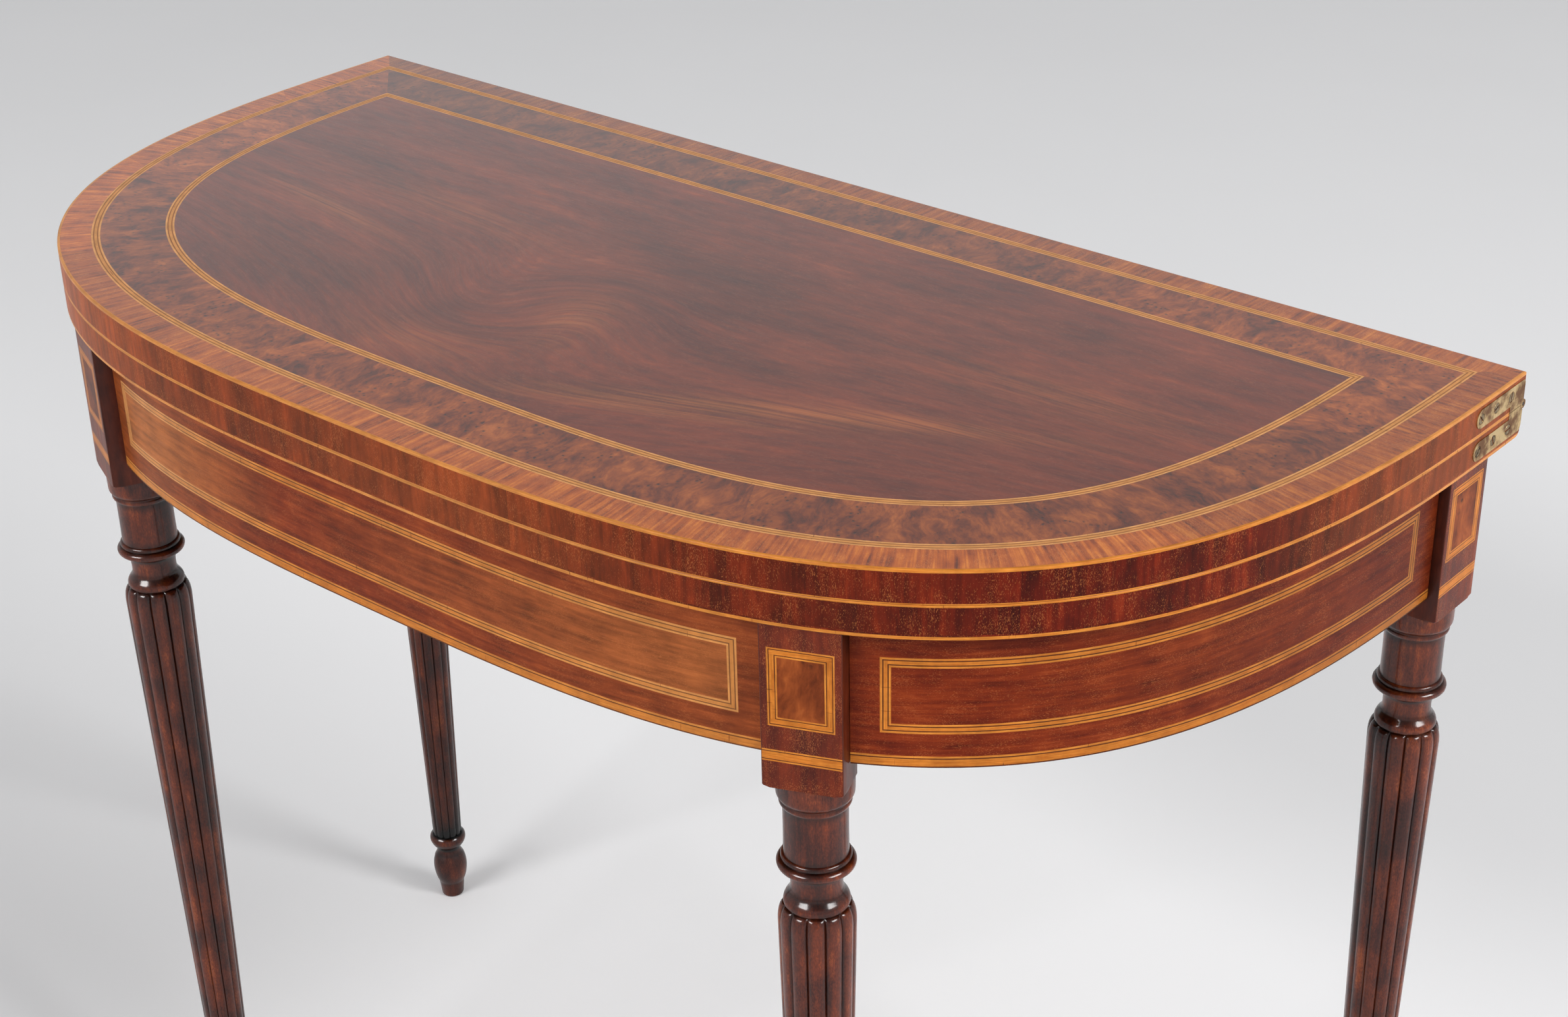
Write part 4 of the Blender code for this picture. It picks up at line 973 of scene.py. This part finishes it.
def build_upper_leaf(curve, bed_curve):
    """The folding leaf: flame centre, burr band and crossband on top, a bed for the cloth below."""
    top = UPPER_HIGH.z
    low = UPPER_LOW.z
    cuts = {BED_HALF_WIDTH, -BED_HALF_WIDTH, *BACK_CROSSBAND_JOINTS, *BACK_BURR_JOINTS}
    cuts = sorted(cuts, reverse=True)
    leaf = Leaf(Build(), curve, cuts)
    leaf.last = leaf.row(INNER_LINE[0] + TOP_LINE_WIDTH, INNER_LINE[1] + TOP_LINE_WIDTH, top)
    add_flame(leaf.build, leaf.last)
    leaf.lines(INNER_LINE, top)
    leaf.step(
        "burr", OUTER_LINE[0] + TOP_LINE_WIDTH, OUTER_LINE[1] + TOP_LINE_WIDTH, top,
        joints=BURR_JOINT_SHARES, back_joints=BACK_BURR_JOINTS[::-1], spread=PIECE_SPREAD,
        back_tone=BURR_BACK_TONES, offsets=BURR_TONES,
    )
    leaf.lines(OUTER_LINE, top)
    leaf.step(
        "crossband", ARRIS_STRING, 0.0, top,
        joints=CROSSBAND_JOINT_SHARES, back_joints=BACK_CROSSBAND_JOINTS[::-1], spread=PIECE_SPREAD,
        back_tone=CROSSBAND_BACK_TONES, offsets=CROSSBAND_TONES,
    )
    for inset, drop in arris(ARRIS_ROUND, ARRIS_STEPS):
        leaf.step("boxwood", inset, 0.0, top - drop)
    leaf.step("boxwood", 0.0, 0.0, top - ARRIS_STRING)
    leaf.step("edge", 0.0, 0.0, low + BED_DEPTH, **EDGE_PIECES)
    leaf.step("edge", 0.0, 0.0, low + UPPER_FOOT_STRING, keep_back="ends", **EDGE_PIECES)
    leaf.step("boxwood", 0.0, 0.0, low, keep_back="ends")
    leaf.step("crossband", 0.0, 0.0, low, bed_curve)
    leaf.step("crossband", 0.0, 0.0, low + BED_DEPTH, bed_curve, keep_back="none")
    cap(leaf.build, leaf.last, "plain")
    sink_faces(leaf.build, low, 1)
    leaf.build.finish("upper_leaf_veneered", "folding_leaf", "top_veneer", ["upper_leaf"])


def build_lower_leaf(curve, bed_curve):
    """The fixed leaf: a bed for the cloth on top, a rounded back edge below."""
    top = LOWER_HIGH.z
    low = LOWER_LOW.z
    leaf = Leaf(Build(), curve, (BED_HALF_WIDTH, -BED_HALF_WIDTH))
    leaf.last = leaf.row(0.0, 0.0, top - BED_DEPTH, bed_curve)
    cap(leaf.build, leaf.last, "plain")
    leaf.step("crossband", 0.0, 0.0, top, bed_curve, keep_back="none")
    leaf.step("crossband", LOWER_HEAD_STRING, 0.0, top)
    for inset, drop in arris(ARRIS_ROUND, ARRIS_STEPS):
        leaf.step("boxwood", inset, 0.0, top - drop, keep_back="ends")
    leaf.step("boxwood", 0.0, 0.0, top - BED_DEPTH, keep_back="ends")
    leaf.step("boxwood", 0.0, 0.0, top - LOWER_HEAD_STRING)
    leaf.step("edge", 0.0, 0.0, low + LOWER_BACK_ROUND, tone=LOWER_EDGE_TONE, **EDGE_PIECES)
    for step in range(1, BACK_ROUND_STEPS):
        angle = math.pi / 2 * step / BACK_ROUND_STEPS
        height = LOWER_BACK_ROUND * (1 - math.sin(angle))
        if height < LOWER_FOOT_STRING:
            break
        back = LOWER_BACK_ROUND * (1 - math.cos(angle))
        leaf.step("edge", 0.0, back, low + height, tone=LOWER_EDGE_TONE, **EDGE_PIECES)
    for height in (LOWER_FOOT_STRING, LOWER_FOOT_STRING / 3, 0.0):
        up = LOWER_BACK_ROUND - height
        back = LOWER_BACK_ROUND - math.sqrt(LOWER_BACK_ROUND ** 2 - up ** 2)
        finish = "edge" if height == LOWER_FOOT_STRING else "boxwood"
        leaf.step(finish, 0.0, back, low + height)
    cap(leaf.build, leaf.last, "plain")
    sink_faces(leaf.build, top, -1)
    leaf.build.finish("lower_leaf_veneered", "frame", "top_veneer", ["lower_leaf"])


def build_baize(curve):
    """The two cloths, laid in their beds."""
    for name, body, leaf in (("upper_baize", "folding_leaf", "upper_leaf_veneered"),
                             ("lower_baize", "frame", "lower_leaf_veneered")):
        low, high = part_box(name)
        build = Build()
        sheet = Leaf(build, curve, ())
        sheet.last = sheet.row(0.0, 0.0, high.z)
        cap(build, sheet.last, "baize")
        sheet.step("baize", 0.0, 0.0, low.z)
        cap(build, sheet.last, "baize")
        points = curve.points(np.linspace(0.0, curve.whole, LEAF_STEPS + 1))
        area = sum((b[0] - a[0]) * ((a[1] + b[1]) / 2 - BACK_Y) for a, b in zip(points, points[1:]))
        cloth = build.finish(name + "_cloth", body, "baize", [name])


def cumulate(start, widths):
    """Running places from a start."""
    places = [start]
    for width in widths:
        places.append(places[-1] + width)
    return places


def frame_finish(along, drop, low_along, high_along, low_drop, high_drop, widths):
    """The string of an inlaid frame at a place, "inside" or None, and whether that string is upright."""
    beside = min(along - low_along, high_along - along)
    depth = min(beside, drop - low_drop, high_drop - drop)
    if depth < 0:
        return None, False
    places = cumulate(0.0, widths)
    for number, finish in enumerate(LINE_FINISHES):
        if depth < places[number + 1]:
            return finish, depth == beside
    return "inside", False


def banding_finish(drop, top, widths):
    """Which string of a horizontal band a place lies on, or None."""
    places = cumulate(top, widths)
    if not places[0] < drop < places[-1]:
        return None
    return LINE_FINISHES[sum(drop > place for place in places) - 1]


def frame_lines(low, high, widths):
    """Places of a frame's strings between its two outer sides."""
    return cumulate(low, widths) + [high - w for w in cumulate(0.0, widths)]


def cell_grain(around, down, swapped):
    """The corners of a cell in its wood, from its two places round the part and its two places down."""
    corners = [(around[i], down[j]) for i, j in ((0, 0), (1, 0), (1, 1), (0, 1))]
    return [(b, a) for a, b in corners] if swapped else corners


def spaced(places, gap):
    """Sorted places with more put between them, so that none is further than a gap from the next."""
    places = sorted(set(places))
    filled = [places[0]]
    for start, end in zip(places, places[1:]):
        count = max(1, math.ceil((end - start) / gap))
        filled += [start + (end - start) * i / count for i in range(1, count + 1)]
    return filled


def front_leg_place():
    """Centre of the right front leg, and how far its block is turned to face the outline."""
    across = FRONT_LEG_STATION / HALF_WIDTH
    forward = (1 - across ** OUTLINE_POWER) ** (1 / OUTLINE_POWER)
    on_edge = Vector((FRONT_LEG_STATION, BACK_Y - TABLE_DEPTH * forward))
    slope_x = across ** (OUTLINE_POWER - 1) / HALF_WIDTH
    slope_y = -(forward ** (OUTLINE_POWER - 1)) / TABLE_DEPTH
    outward = Vector((slope_x, slope_y)).normalized()
    centre = on_edge - outward * (BLOCK_SET_IN + HALF_BLOCK)
    return centre, math.atan2(outward.x, -outward.y)


def rail_ends(curve):
    """Lengths along a rail's curve where the right side rail starts and ends and the front rail starts."""
    centre, turn = front_leg_place()
    shoulder = HALF_BLOCK + FIT_GAP
    beyond = (curve.x - centre.x) * math.cos(turn) + (BACK_Y - curve.depth - centre.y) * math.sin(turn)
    quarter = OUTLINE_SAMPLES // 4
    rear = float(np.interp(BACK_Y - SIDE_RAIL_BACK, curve.depth[:quarter], curve.lengths[:quarter]))
    return rear, curve.length_where(beyond, shoulder), curve.length_where(beyond, -shoulder)


def side_shadow(side, share):
    """How much darker a side rail is towards its rear leg, some share of the way round."""
    if side == 0:
        return 0.0
    near = share if side > 0 else 1 - share
    return REAR_SHADE * max(0.0, 1 - near / REAR_SHADE_SHARE)


def build_rail(name, side):
    """A curved rail: an inlaid and veneered outer face over a plain body. Side is 1, 0 or -1."""
    build = Build()
    outer = DCurve(HALF_WIDTH - RAIL_SIDE_INSET, TABLE_DEPTH - RAIL_FRONT_INSET)
    inner = DCurve(
        HALF_WIDTH - RAIL_SIDE_INSET - RAIL_THICKNESS, TABLE_DEPTH - RAIL_FRONT_INSET - RAIL_THICKNESS
    )
    rows = []

    def span(curve):
        rear, leg_end, front_start = rail_ends(curve)
        if side == 0:
            return front_start, curve.whole - front_start
        return (rear, leg_end) if side > 0 else (curve.whole - leg_end, curve.whole - rear)

    start, end = span(outer)
    low_along = start + (PANEL_REAR_MARGIN if side > 0 else PANEL_MARGIN)
    high_along = end - (PANEL_REAR_MARGIN if side < 0 else PANEL_MARGIN)
    drops = [TABLE_TOP - FRAME_TOP, TABLE_TOP - RAIL_BOTTOM]
    drops += frame_lines(PANEL_TOP, PANEL_BOTTOM, PANEL_LINE_WIDTHS) + cumulate(BANDING_TOP, BANDING_WIDTHS)
    drops = [d for d in spaced(drops, RAIL_STATION) if d <= TABLE_TOP - RAIL_BOTTOM + MERGE_DISTANCE]
    stations = spaced([start, end] + frame_lines(low_along, high_along, PANEL_LINE_WIDTHS), RAIL_STATION)

    def add_row(curve, level):
        first, last = span(curve)
        lengths = [first + (s - start) / (end - start) * (last - first) for s in stations]
        rows.append([build.vert((x, y, level)) for x, y in curve.points(lengths)])

    for drop in drops:
        add_row(outer, TABLE_TOP - drop)
    add_row(inner, RAIL_BOTTOM)
    add_row(inner, FRAME_TOP)

    def inside(along, drop):
        return low_along < along < high_along and PANEL_TOP < drop < PANEL_BOTTOM

    def cell(along, drop):
        finish = banding_finish(drop, BANDING_TOP, BANDING_WIDTHS)
        if finish is not None:
            return finish, False
        finish, upright = frame_finish(
            along, drop, low_along, high_along, PANEL_TOP, PANEL_BOTTOM, PANEL_LINE_WIDTHS
        )
        return ("rail" if finish in (None, "inside") else finish), upright

    # Distances round the rail's section, from its outer face under its foot and up its back
    around = cumulate(drops[-1], (RAIL_THICKNESS, FRAME_TOP - RAIL_BOTTOM, RAIL_THICKNESS))
    levels = [level + piece_shift(RAIL_PIECES + side) for level in drops + around[1:]]
    fades = RAIL_FADES if side == 0 else SIDE_FADES
    for j in range(len(rows)):
        above = rows[j]
        below = rows[(j + 1) % len(rows)]
        for i in range(len(stations) - 1):
            middle = (stations[i] + stations[i + 1]) / 2
            finish, upright = "secondary", False
            if j < len(drops) - 1:
                drop = (drops[j] + drops[j + 1]) / 2
                finish, upright = cell(middle, drop)
            grain = cell_grain(stations[i:i + 2], levels[j:j + 2], not upright)
            kept = 1.0 if finish != "secondary" and inside(middle, drop) else OUTER_FADE
            first, last = (kept * faded(stations[k] / outer.whole, fades) for k in (i, i + 1))
            low, high = (0.5 - side_shadow(side, stations[k] / outer.whole) for k in (i, i + 1))
            quad = (above[i], above[i + 1], below[i + 1], below[i])
            build.face(quad, finish, grain, (low, high, high, low), (first, last, last, first))
    for end_number in (0, -1):
        verts = [row[end_number] for row in rows]
        build.face(verts, "secondary", [(v.co.x + v.co.y, v.co.z) for v in verts])
    build.finish(name + "_veneered", "frame", "rail_veneer", [name])


def block_perimeter():
    """Points round a square block, its inlaid face first, with its edges just rounded."""
    flat = HALF_BLOCK - BLOCK_EDGE_ROUND
    half_panel = BLOCK_PANEL_WIDTH / 2
    face = spaced([-flat, flat] + frame_lines(-half_panel, half_panel, BLOCK_LINE_WIDTHS), BLOCK_STATION)
    plain = spaced([-flat, flat], BLOCK_STATION)
    points = []
    for quarter in range(4):
        turn = Matrix.Rotation(quarter * math.pi / 2, 2)
        points += [turn @ Vector((x, -HALF_BLOCK)) for x in (face if quarter == 0 else plain)]
        for angle in (math.pi / 6, math.pi / 3):
            x = flat + BLOCK_EDGE_ROUND * math.sin(angle)
            y = -flat - BLOCK_EDGE_ROUND * math.cos(angle)
            points.append(turn @ Vector((x, y)))
    return points, len(face) - 1


def block_point(point, height, reach, bevelled):
    """A point of the perimeter drawn in by the turned foot of the block and by its inner bevel."""
    radius = min(point.length, reach)
    toward_back = point.y / point.length
    if bevelled and toward_back > 0:
        rise = min((height - BLOCK_BOTTOM) / INNER_BEVEL_HEIGHT, 1.0)
        bevel_y = HALF_BLOCK - INNER_BEVEL_DEPTH * (1 - rise)
        radius = min(radius, max(LEG_RADIUS, bevel_y / toward_back))
    return point * (radius / point.length)


def build_block(place, bevelled, number):
    """The square block of a leg, with its inlaid outer face."""
    build = Build()
    points, face_cells = block_perimeter()
    half_panel = BLOCK_PANEL_WIDTH / 2
    drops = [TABLE_TOP - FRAME_TOP]
    drops += frame_lines(BLOCK_PANEL_TOP, BLOCK_PANEL_BOTTOM, BLOCK_LINE_WIDTHS)
    drops += cumulate(BLOCK_BANDING_TOP, BLOCK_BANDING_WIDTHS)
    bevel_top = TABLE_TOP - BLOCK_BOTTOM - INNER_BEVEL_HEIGHT
    foot_top = TABLE_TOP - BLOCK_BOTTOM - BLOCK_FOOT_ROUND
    drops = spaced(drops + [bevel_top, foot_top], BLOCK_STATION)
    full_reach = HALF_BLOCK * math.sqrt(2)
    levels = [(TABLE_TOP - drop, full_reach) for drop in drops]
    for step in reversed(range(FOOT_ROUND_STEPS)):
        angle = math.pi / 2 * step / FOOT_ROUND_STEPS
        height = BLOCK_BOTTOM + BLOCK_FOOT_ROUND * (1 - math.cos(angle))
        levels.append((height, full_reach - BLOCK_FOOT_ROUND * (1 - math.sin(angle))))
    rows = []
    for height, reach in levels:
        row = []
        for point in points:
            x, y = block_point(point, height, reach, bevelled)
            row.append(build.vert(place @ Vector((x, y, height))))
        rows.append(row)
    count = len(points)
    shift = piece_shift(BLOCK_PIECES + number)
    around = cumulate(0.0, [(points[(i + 1) % count] - points[i]).length for i in range(count)])
    around = [value + shift for value in around]
    for j in range(len(rows) - 1):
        drop = TABLE_TOP - (levels[j][0] + levels[j + 1][0]) / 2
        for i in range(count):
            k = (i + 1) % count
            finish, upright = "flank", True
            if i < face_cells:
                middle = (points[i].x + points[k].x) / 2
                finish, upright = banding_finish(drop, BLOCK_BANDING_TOP, BLOCK_BANDING_WIDTHS), False
                if finish is None:
                    finish, upright = frame_finish(
                        middle, drop, -half_panel, half_panel, BLOCK_PANEL_TOP, BLOCK_PANEL_BOTTOM,
                        BLOCK_LINE_WIDTHS,
                    )
                finish = {None: "block", "inside": "block_burr"}.get(finish, finish)
            level = (levels[j][0], levels[j + 1][0])
            grain = cell_grain(around[i:i + 2], level, finish in LINE_FINISHES and not upright)
            verts = (rows[j][i], rows[j][k], rows[j + 1][k], rows[j + 1][i])
            build.face(verts, finish, grain)
    for row in (rows[0], rows[-1]):
        build.face(row, "flank", [(v.co.x + shift, v.co.y) for v in row])
    return build


def smooth_run(points):
    """A smooth curve through the points of one run, by a Catmull-Rom spline."""
    ends = (2 * np.array(points[0]) - np.array(points[1]), 2 * np.array(points[-1]) - np.array(points[-2]))
    knots = [ends[0], *map(np.array, points), ends[1]]
    curve = []
    for a, b, c, d in zip(knots, knots[1:], knots[2:], knots[3:]):
        for step in range(CURVE_STEPS):
            t = step / CURVE_STEPS
            bend = (2 * a - 5 * b + 4 * c - d) * t ** 2 + (3 * b - a - 3 * c + d) * t ** 3
            curve.append(0.5 * (2 * b + (c - a) * t + bend))
    curve.append(np.array(points[-1]))
    return [(float(p[0]) * MM, float(p[1]) * MM) for p in curve]


def reed_radius(crest, depth, share):
    """Radius across one reed, by the share of its width from its groove."""
    off_middle = abs(2 * share - 1)
    return crest - depth * (1 - math.sqrt(max(0.0, 1 - (REED_SIDE * off_middle) ** REED_POWER)))


def painted_light_and_grime(rings, plain):
    """Tones of a turning's points: paler on its outer side and darker on its inner side as painted light, and
    dark where it is deeper than what is near, as grime and painted shade.
    """
    tones = []
    for height, radii in rings:
        near = max(max(other) for place, other in rings if abs(place - height) < GRIME_AND_SHADE_REACH)
        row = []
        for i, radius in enumerate(radii):
            # Painted light, paler on the outer side and darker on the inner side
            rubbed = plain + LIT_SIDE_TONE * math.cos(2 * math.pi * i / len(radii))
            # Grime and painted shade: darker the deeper the point lies below the fullest radius near it
            row.append(rubbed - GRIME_AND_SHADE_SHARE * min(1.0, (near - radius) / GRIME_AND_SHADE_DEPTH))
        tones.append(row)
    return tones


def build_turning(place, plain):
    """The turned and reeded part of a leg, from the floor to just inside its block."""
    build = Build()
    rings = []

    def plain_ring(height, radius):
        rings.append((height, [radius] * TURNED_SIDES))

    def reed_ring(height, crest, depth):
        one = [reed_radius(crest, depth, i / REED_POINTS) for i in range(REED_POINTS)]
        rings.append((height, one * REED_COUNT))

    for run in FOOT_RUNS:
        for height, radius in smooth_run(run):
            plain_ring(height, radius)
    shaft_top = REED_TOP - REED_CROWN
    for step in range(SHAFT_STEPS + 1):
        share = step / SHAFT_STEPS
        crest = SHAFT_FOOT_RADIUS + (LEG_RADIUS - SHAFT_FOOT_RADIUS) * share
        depth = SHAFT_FOOT_DEPTH + (REED_DEPTH - SHAFT_FOOT_DEPTH) * share
        reed_ring(FOOT_HEIGHT + (shaft_top - FOOT_HEIGHT) * share, crest, depth)
    neck_rim = NECK_RUNS[-1][-1][1] * MM
    for step in range(1, REED_CROWN_STEPS + 1):
        angle = math.pi / 2 * step / REED_CROWN_STEPS
        crest = neck_rim + (LEG_RADIUS - neck_rim) * math.cos(angle) ** CROWN_POWER
        depth = REED_DEPTH * math.cos(angle) ** GROOVE_POWER
        reed_ring(shaft_top + REED_CROWN * math.sin(angle), crest, depth)
    for run in reversed(NECK_RUNS):
        for drop, radius in reversed(smooth_run(run)):
            plain_ring(BLOCK_BOTTOM - drop, radius)
    plain_ring(BLOCK_BOTTOM + NECK_TUCK, rings[-1][1][0])

    rows = []
    tones = {}
    for (height, radii), ring_tones in zip(rings, painted_light_and_grime(rings, plain)):
        row = []
        for i, radius in enumerate(radii):
            angle = 2 * math.pi * i / len(radii)
            vert = build.vert(place @ Vector((radius * math.sin(angle), -radius * math.cos(angle), height)))
            tones[vert] = ring_tones[i]
            row.append(vert)
        rows.append(row)
    for below, above in zip(rows, rows[1:]):
        few, many = sorted((below, above), key=len)
        ratio = len(many) // len(few)
        for i in range(len(few)):
            k = (i + 1) % len(few)
            outer = [many[(ratio * i + n) % len(many)] for n in range(ratio + 1)]
            if ratio == 1:
                faces = [(few[i], few[k], outer[1], outer[0])]
            else:
                faces = [
                    (few[i], outer[1], outer[0]), (few[i], few[k], outer[1]), (few[k], outer[2], outer[1]),
                ]
            for verts in faces:
                build.face(verts, "turned", [(v.co.x, v.co.z) for v in verts], [tones[v] for v in verts])
    for row in (rows[0], rows[-1]):
        build.face(row, "turned", [(v.co.x, v.co.y) for v in row])
    return build


def build_legs():
    """Each leg as its inlaid block and its turned part."""
    centre, turn = front_leg_place()
    legs = (
        ("front_left_leg", Vector((-centre.x, centre.y, 0)), -turn, True, "frame"),
        ("front_right_leg", Vector((centre.x, centre.y, 0)), turn, True, "frame"),
        ("rear_left_leg", Vector((-REAR_LEG_X, REAR_LEG_Y, 0)), -math.pi / 2, False, "left_gate"),
        ("rear_right_leg", Vector((REAR_LEG_X, REAR_LEG_Y, 0)), math.pi / 2, False, "right_gate"),
    )
    for number, (name, at, angle, bevelled, body) in enumerate(legs):
        place = Matrix.Translation(at) @ Matrix.Rotation(angle, 4, "Z")
        build_block(place, bevelled, number).finish(name + "_block", body, "leg_mahogany", [name])
        build_turning(place, LEG_TONES_WITH_SHADOW[number]).finish(name + "_turning", body, "leg_mahogany", [name])


class Screw:
    """A slotted countersunk screw in the place of a plain CAD one."""

    def __init__(self, node, number):
        low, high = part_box(node)
        size = high - low
        self.axis = max(range(3), key=lambda i: size[i])
        self.others = [i for i in range(3) if i != self.axis]
        self.centre = (low + high) / 2
        places = [v.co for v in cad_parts[node].data.vertices]
        ends = [[self.off_axis(p) for p in places if abs(p[self.axis] - end) < FIT_GAP]
                for end in (low[self.axis], high[self.axis])]
        self.sign = 1 if max(ends[1]) > max(ends[0]) else -1
        self.face = (high if self.sign > 0 else low)[self.axis]
        self.radius = max(map(max, ends))
        self.shank = min(map(max, ends))
        thin = [self.depth(p) for p in places if self.off_axis(p) < self.shank * SHANK_SLACK]
        self.sink = min(d for d in thin if d > MERGE_DISTANCE)
        self.length = size[self.axis]
        self.turn = number * SLOT_TURN
        self.build = Build()

    def depth(self, place):
        return self.sign * (self.face - place[self.axis])

    def off_axis(self, place):
        return math.hypot(*(place[i] - self.centre[i] for i in self.others))

    def vert(self, u, v, depth):
        """A point by its place across the head and its depth below the head's face."""
        across = (
            u * math.cos(self.turn) - v * math.sin(self.turn),
            u * math.sin(self.turn) + v * math.cos(self.turn),
        )
        place = [0.0, 0.0, 0.0]
        place[self.axis] = self.face - self.sign * depth
        for i, value in zip(self.others, across):
            place[i] = self.centre[i] + value
        return self.build.vert(place)

    def ring(self, radius, depth):
        """Two arcs of points, one on each side of the slot."""
        notch = math.asin(min(1.0, SLOT_WIDTH / 2 / radius))
        arcs = []
        for start in (0.0, math.pi):
            angles = [start + notch + (math.pi - 2 * notch) * i / SCREW_ARC for i in range(SCREW_ARC + 1)]
            arcs.append([self.vert(radius * math.cos(a), radius * math.sin(a), depth) for a in angles])
        return arcs

    def add(self, verts, finish):
        self.build.face(verts, finish, [(0.0, 0.0)] * len(verts))

    def make(self, node, body, slot, finish):
        slot_radius = self.radius - (self.radius - self.shank) * SLOT_DEPTH / self.sink
        rings = [
            self.ring(self.radius - SCREW_BEVEL, 0.0), self.ring(self.radius, SCREW_BEVEL),
            self.ring(slot_radius, SLOT_DEPTH), self.ring(self.shank, self.sink),
            self.ring(self.shank, self.length),
        ]
        for arc in rings[0] + [rings[-1][0] + rings[-1][1]]:
            self.add(arc, finish)
        for arc in (0, 1):
            for above, below in zip(rings, rings[1:]):
                for i in range(SCREW_ARC):
                    quad = (above[arc][i], above[arc][i + 1], below[arc][i + 1], below[arc][i])
                    self.add(quad, finish)
            wall = [rings[0][arc][0], rings[0][arc][-1], rings[1][arc][-1], rings[2][arc][-1],
                    rings[2][arc][0], rings[1][arc][0]]
            self.add(wall, finish)
        for above, below in zip(rings[2:], rings[3:]):
            for arc in (0, 1):
                other = 1 - arc
                quad = (above[arc][-1], above[other][0], below[other][0], below[arc][-1])
                self.add(quad, finish)
        self.add([rings[2][0][0], rings[2][0][-1], rings[2][1][0], rings[2][1][-1]], finish)
        self.build.finish(node + "_slotted", body, slot, [node])


def build_screws():
    """Every screw of the table, each with its slot at its own angle."""
    for number, name in enumerate(sorted(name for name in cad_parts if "screw" in name)):
        body = "folding_leaf" if "upper" in name else "frame"
        slot, finish = ("brass", "screw_brass") if "hinge" in name else ("iron", "iron")
        Screw(name, number).make(name, body, slot, finish)


def node_finish(name):
    """The finish of a CAD node that stays in sight."""
    if "hinge_plate" in name:
        return "brass"
    if name.endswith("_pin"):
        return "iron"
    if name == "medial_brace" or "side_cleat" in name:
        return "secondary_y"
    return "secondary_x"


def paint_nodes():
    """Better finishes for the CAD nodes that stay."""
    for name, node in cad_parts.items():
        node.data.materials.clear()
        node.data.materials.append(FINISHES[node_finish(name)])


def make_camera():
    """The photograph's own view."""
    forward = Vector((
        -math.sin(CAMERA_YAW) * math.cos(CAMERA_PITCH),
        math.cos(CAMERA_YAW) * math.cos(CAMERA_PITCH),
        -math.sin(CAMERA_PITCH),
    ))
    level = forward.cross(Vector((0, 0, 1))).normalized()
    upright = level.cross(forward)
    right = level * math.cos(CAMERA_ROLL) + upright * math.sin(CAMERA_ROLL)
    up = right.cross(forward)
    data = bpy.data.cameras.new("photo_view")
    data.sensor_width = SENSOR_WIDTH
    data.lens = FOCAL_PIXELS * SENSOR_WIDTH / PHOTO_WIDTH
    data.shift_x = (PHOTO_WIDTH / 2 - PRINCIPAL_PIXEL[0]) / PHOTO_WIDTH
    data.shift_y = (PRINCIPAL_PIXEL[1] - PHOTO_HEIGHT / 2) / PHOTO_WIDTH
    camera = add_object("photo_view", data)
    turn = Matrix((right, up, -forward)).transposed().to_4x4()
    camera.matrix_world = Matrix.Translation(CAMERA_PLACE) @ turn
    bpy.context.scene.camera = camera


def make_light(name, place, width, height, power, kind):
    """A soft box that faces the table. A diffuse one lights it up, a glossy one is mirrored in it."""
    data = bpy.data.lights.new(name, "AREA")
    data.shape = "RECTANGLE"
    data.size = width
    data.size_y = height
    data.energy = power
    light = add_object(name, data)
    light.location = place
    light.rotation_euler = (Vector(LIGHT_TARGET) - Vector(place)).to_track_quat("-Z", "Y").to_euler()
    light.visible_diffuse = kind == "diffuse"
    light.visible_glossy = kind == "glossy"


def make_studio():
    """A wide pale floor, a pale sky that darkens overhead, and the soft boxes."""
    build = Build()
    signs = ((-1, -1), (1, -1), (1, 1), (-1, 1))
    corners = [build.vert((x * FLOOR_HALF, y * FLOOR_HALF, 0.0)) for x, y in signs]
    build.face(corners, "floor", [(0, 0)] * 4)
    mesh = bpy.data.meshes.new("floor")
    build.bm.to_mesh(mesh)
    build.bm.free()
    mesh.materials.append(FINISHES["floor"])
    floor = add_object("floor", mesh)

    world = bpy.data.worlds.new("studio")
    bpy.context.scene.world = world
    world.use_nodes = True
    tree = world.node_tree
    place = tree.nodes.new("ShaderNodeTexCoord")
    parts = tree.nodes.new("ShaderNodeSeparateXYZ")
    tree.links.new(place.outputs["Generated"], parts.inputs[0])
    ramp = tree.nodes.new("ShaderNodeValToRGB")
    tree.links.new(parts.outputs[2], ramp.inputs[0])
    fill_ramp(ramp, [(height, (*colour, 1.0)) for height, colour in SKY])
    tree.links.new(ramp.outputs[0], tree.nodes["Background"].inputs[0])

    for box in BOXES:
        make_light(*box)
    bpy.context.scene.view_settings.view_transform = "Standard"


def main():
    """The whole scene."""
    make_camera()
    curve = DCurve(HALF_WIDTH, TABLE_DEPTH)
    bed_curve = DCurve(BED_HALF_WIDTH, TABLE_DEPTH - BAIZE_BORDER)
    build_upper_leaf(curve, bed_curve)
    build_lower_leaf(curve, bed_curve)
    build_baize(bed_curve)
    for name, side in (("right_side_rail", 1), ("front_rail", 0), ("left_side_rail", -1)):
        build_rail(name, side)
    build_legs()
    build_screws()
    paint_nodes()
    make_studio()


main()
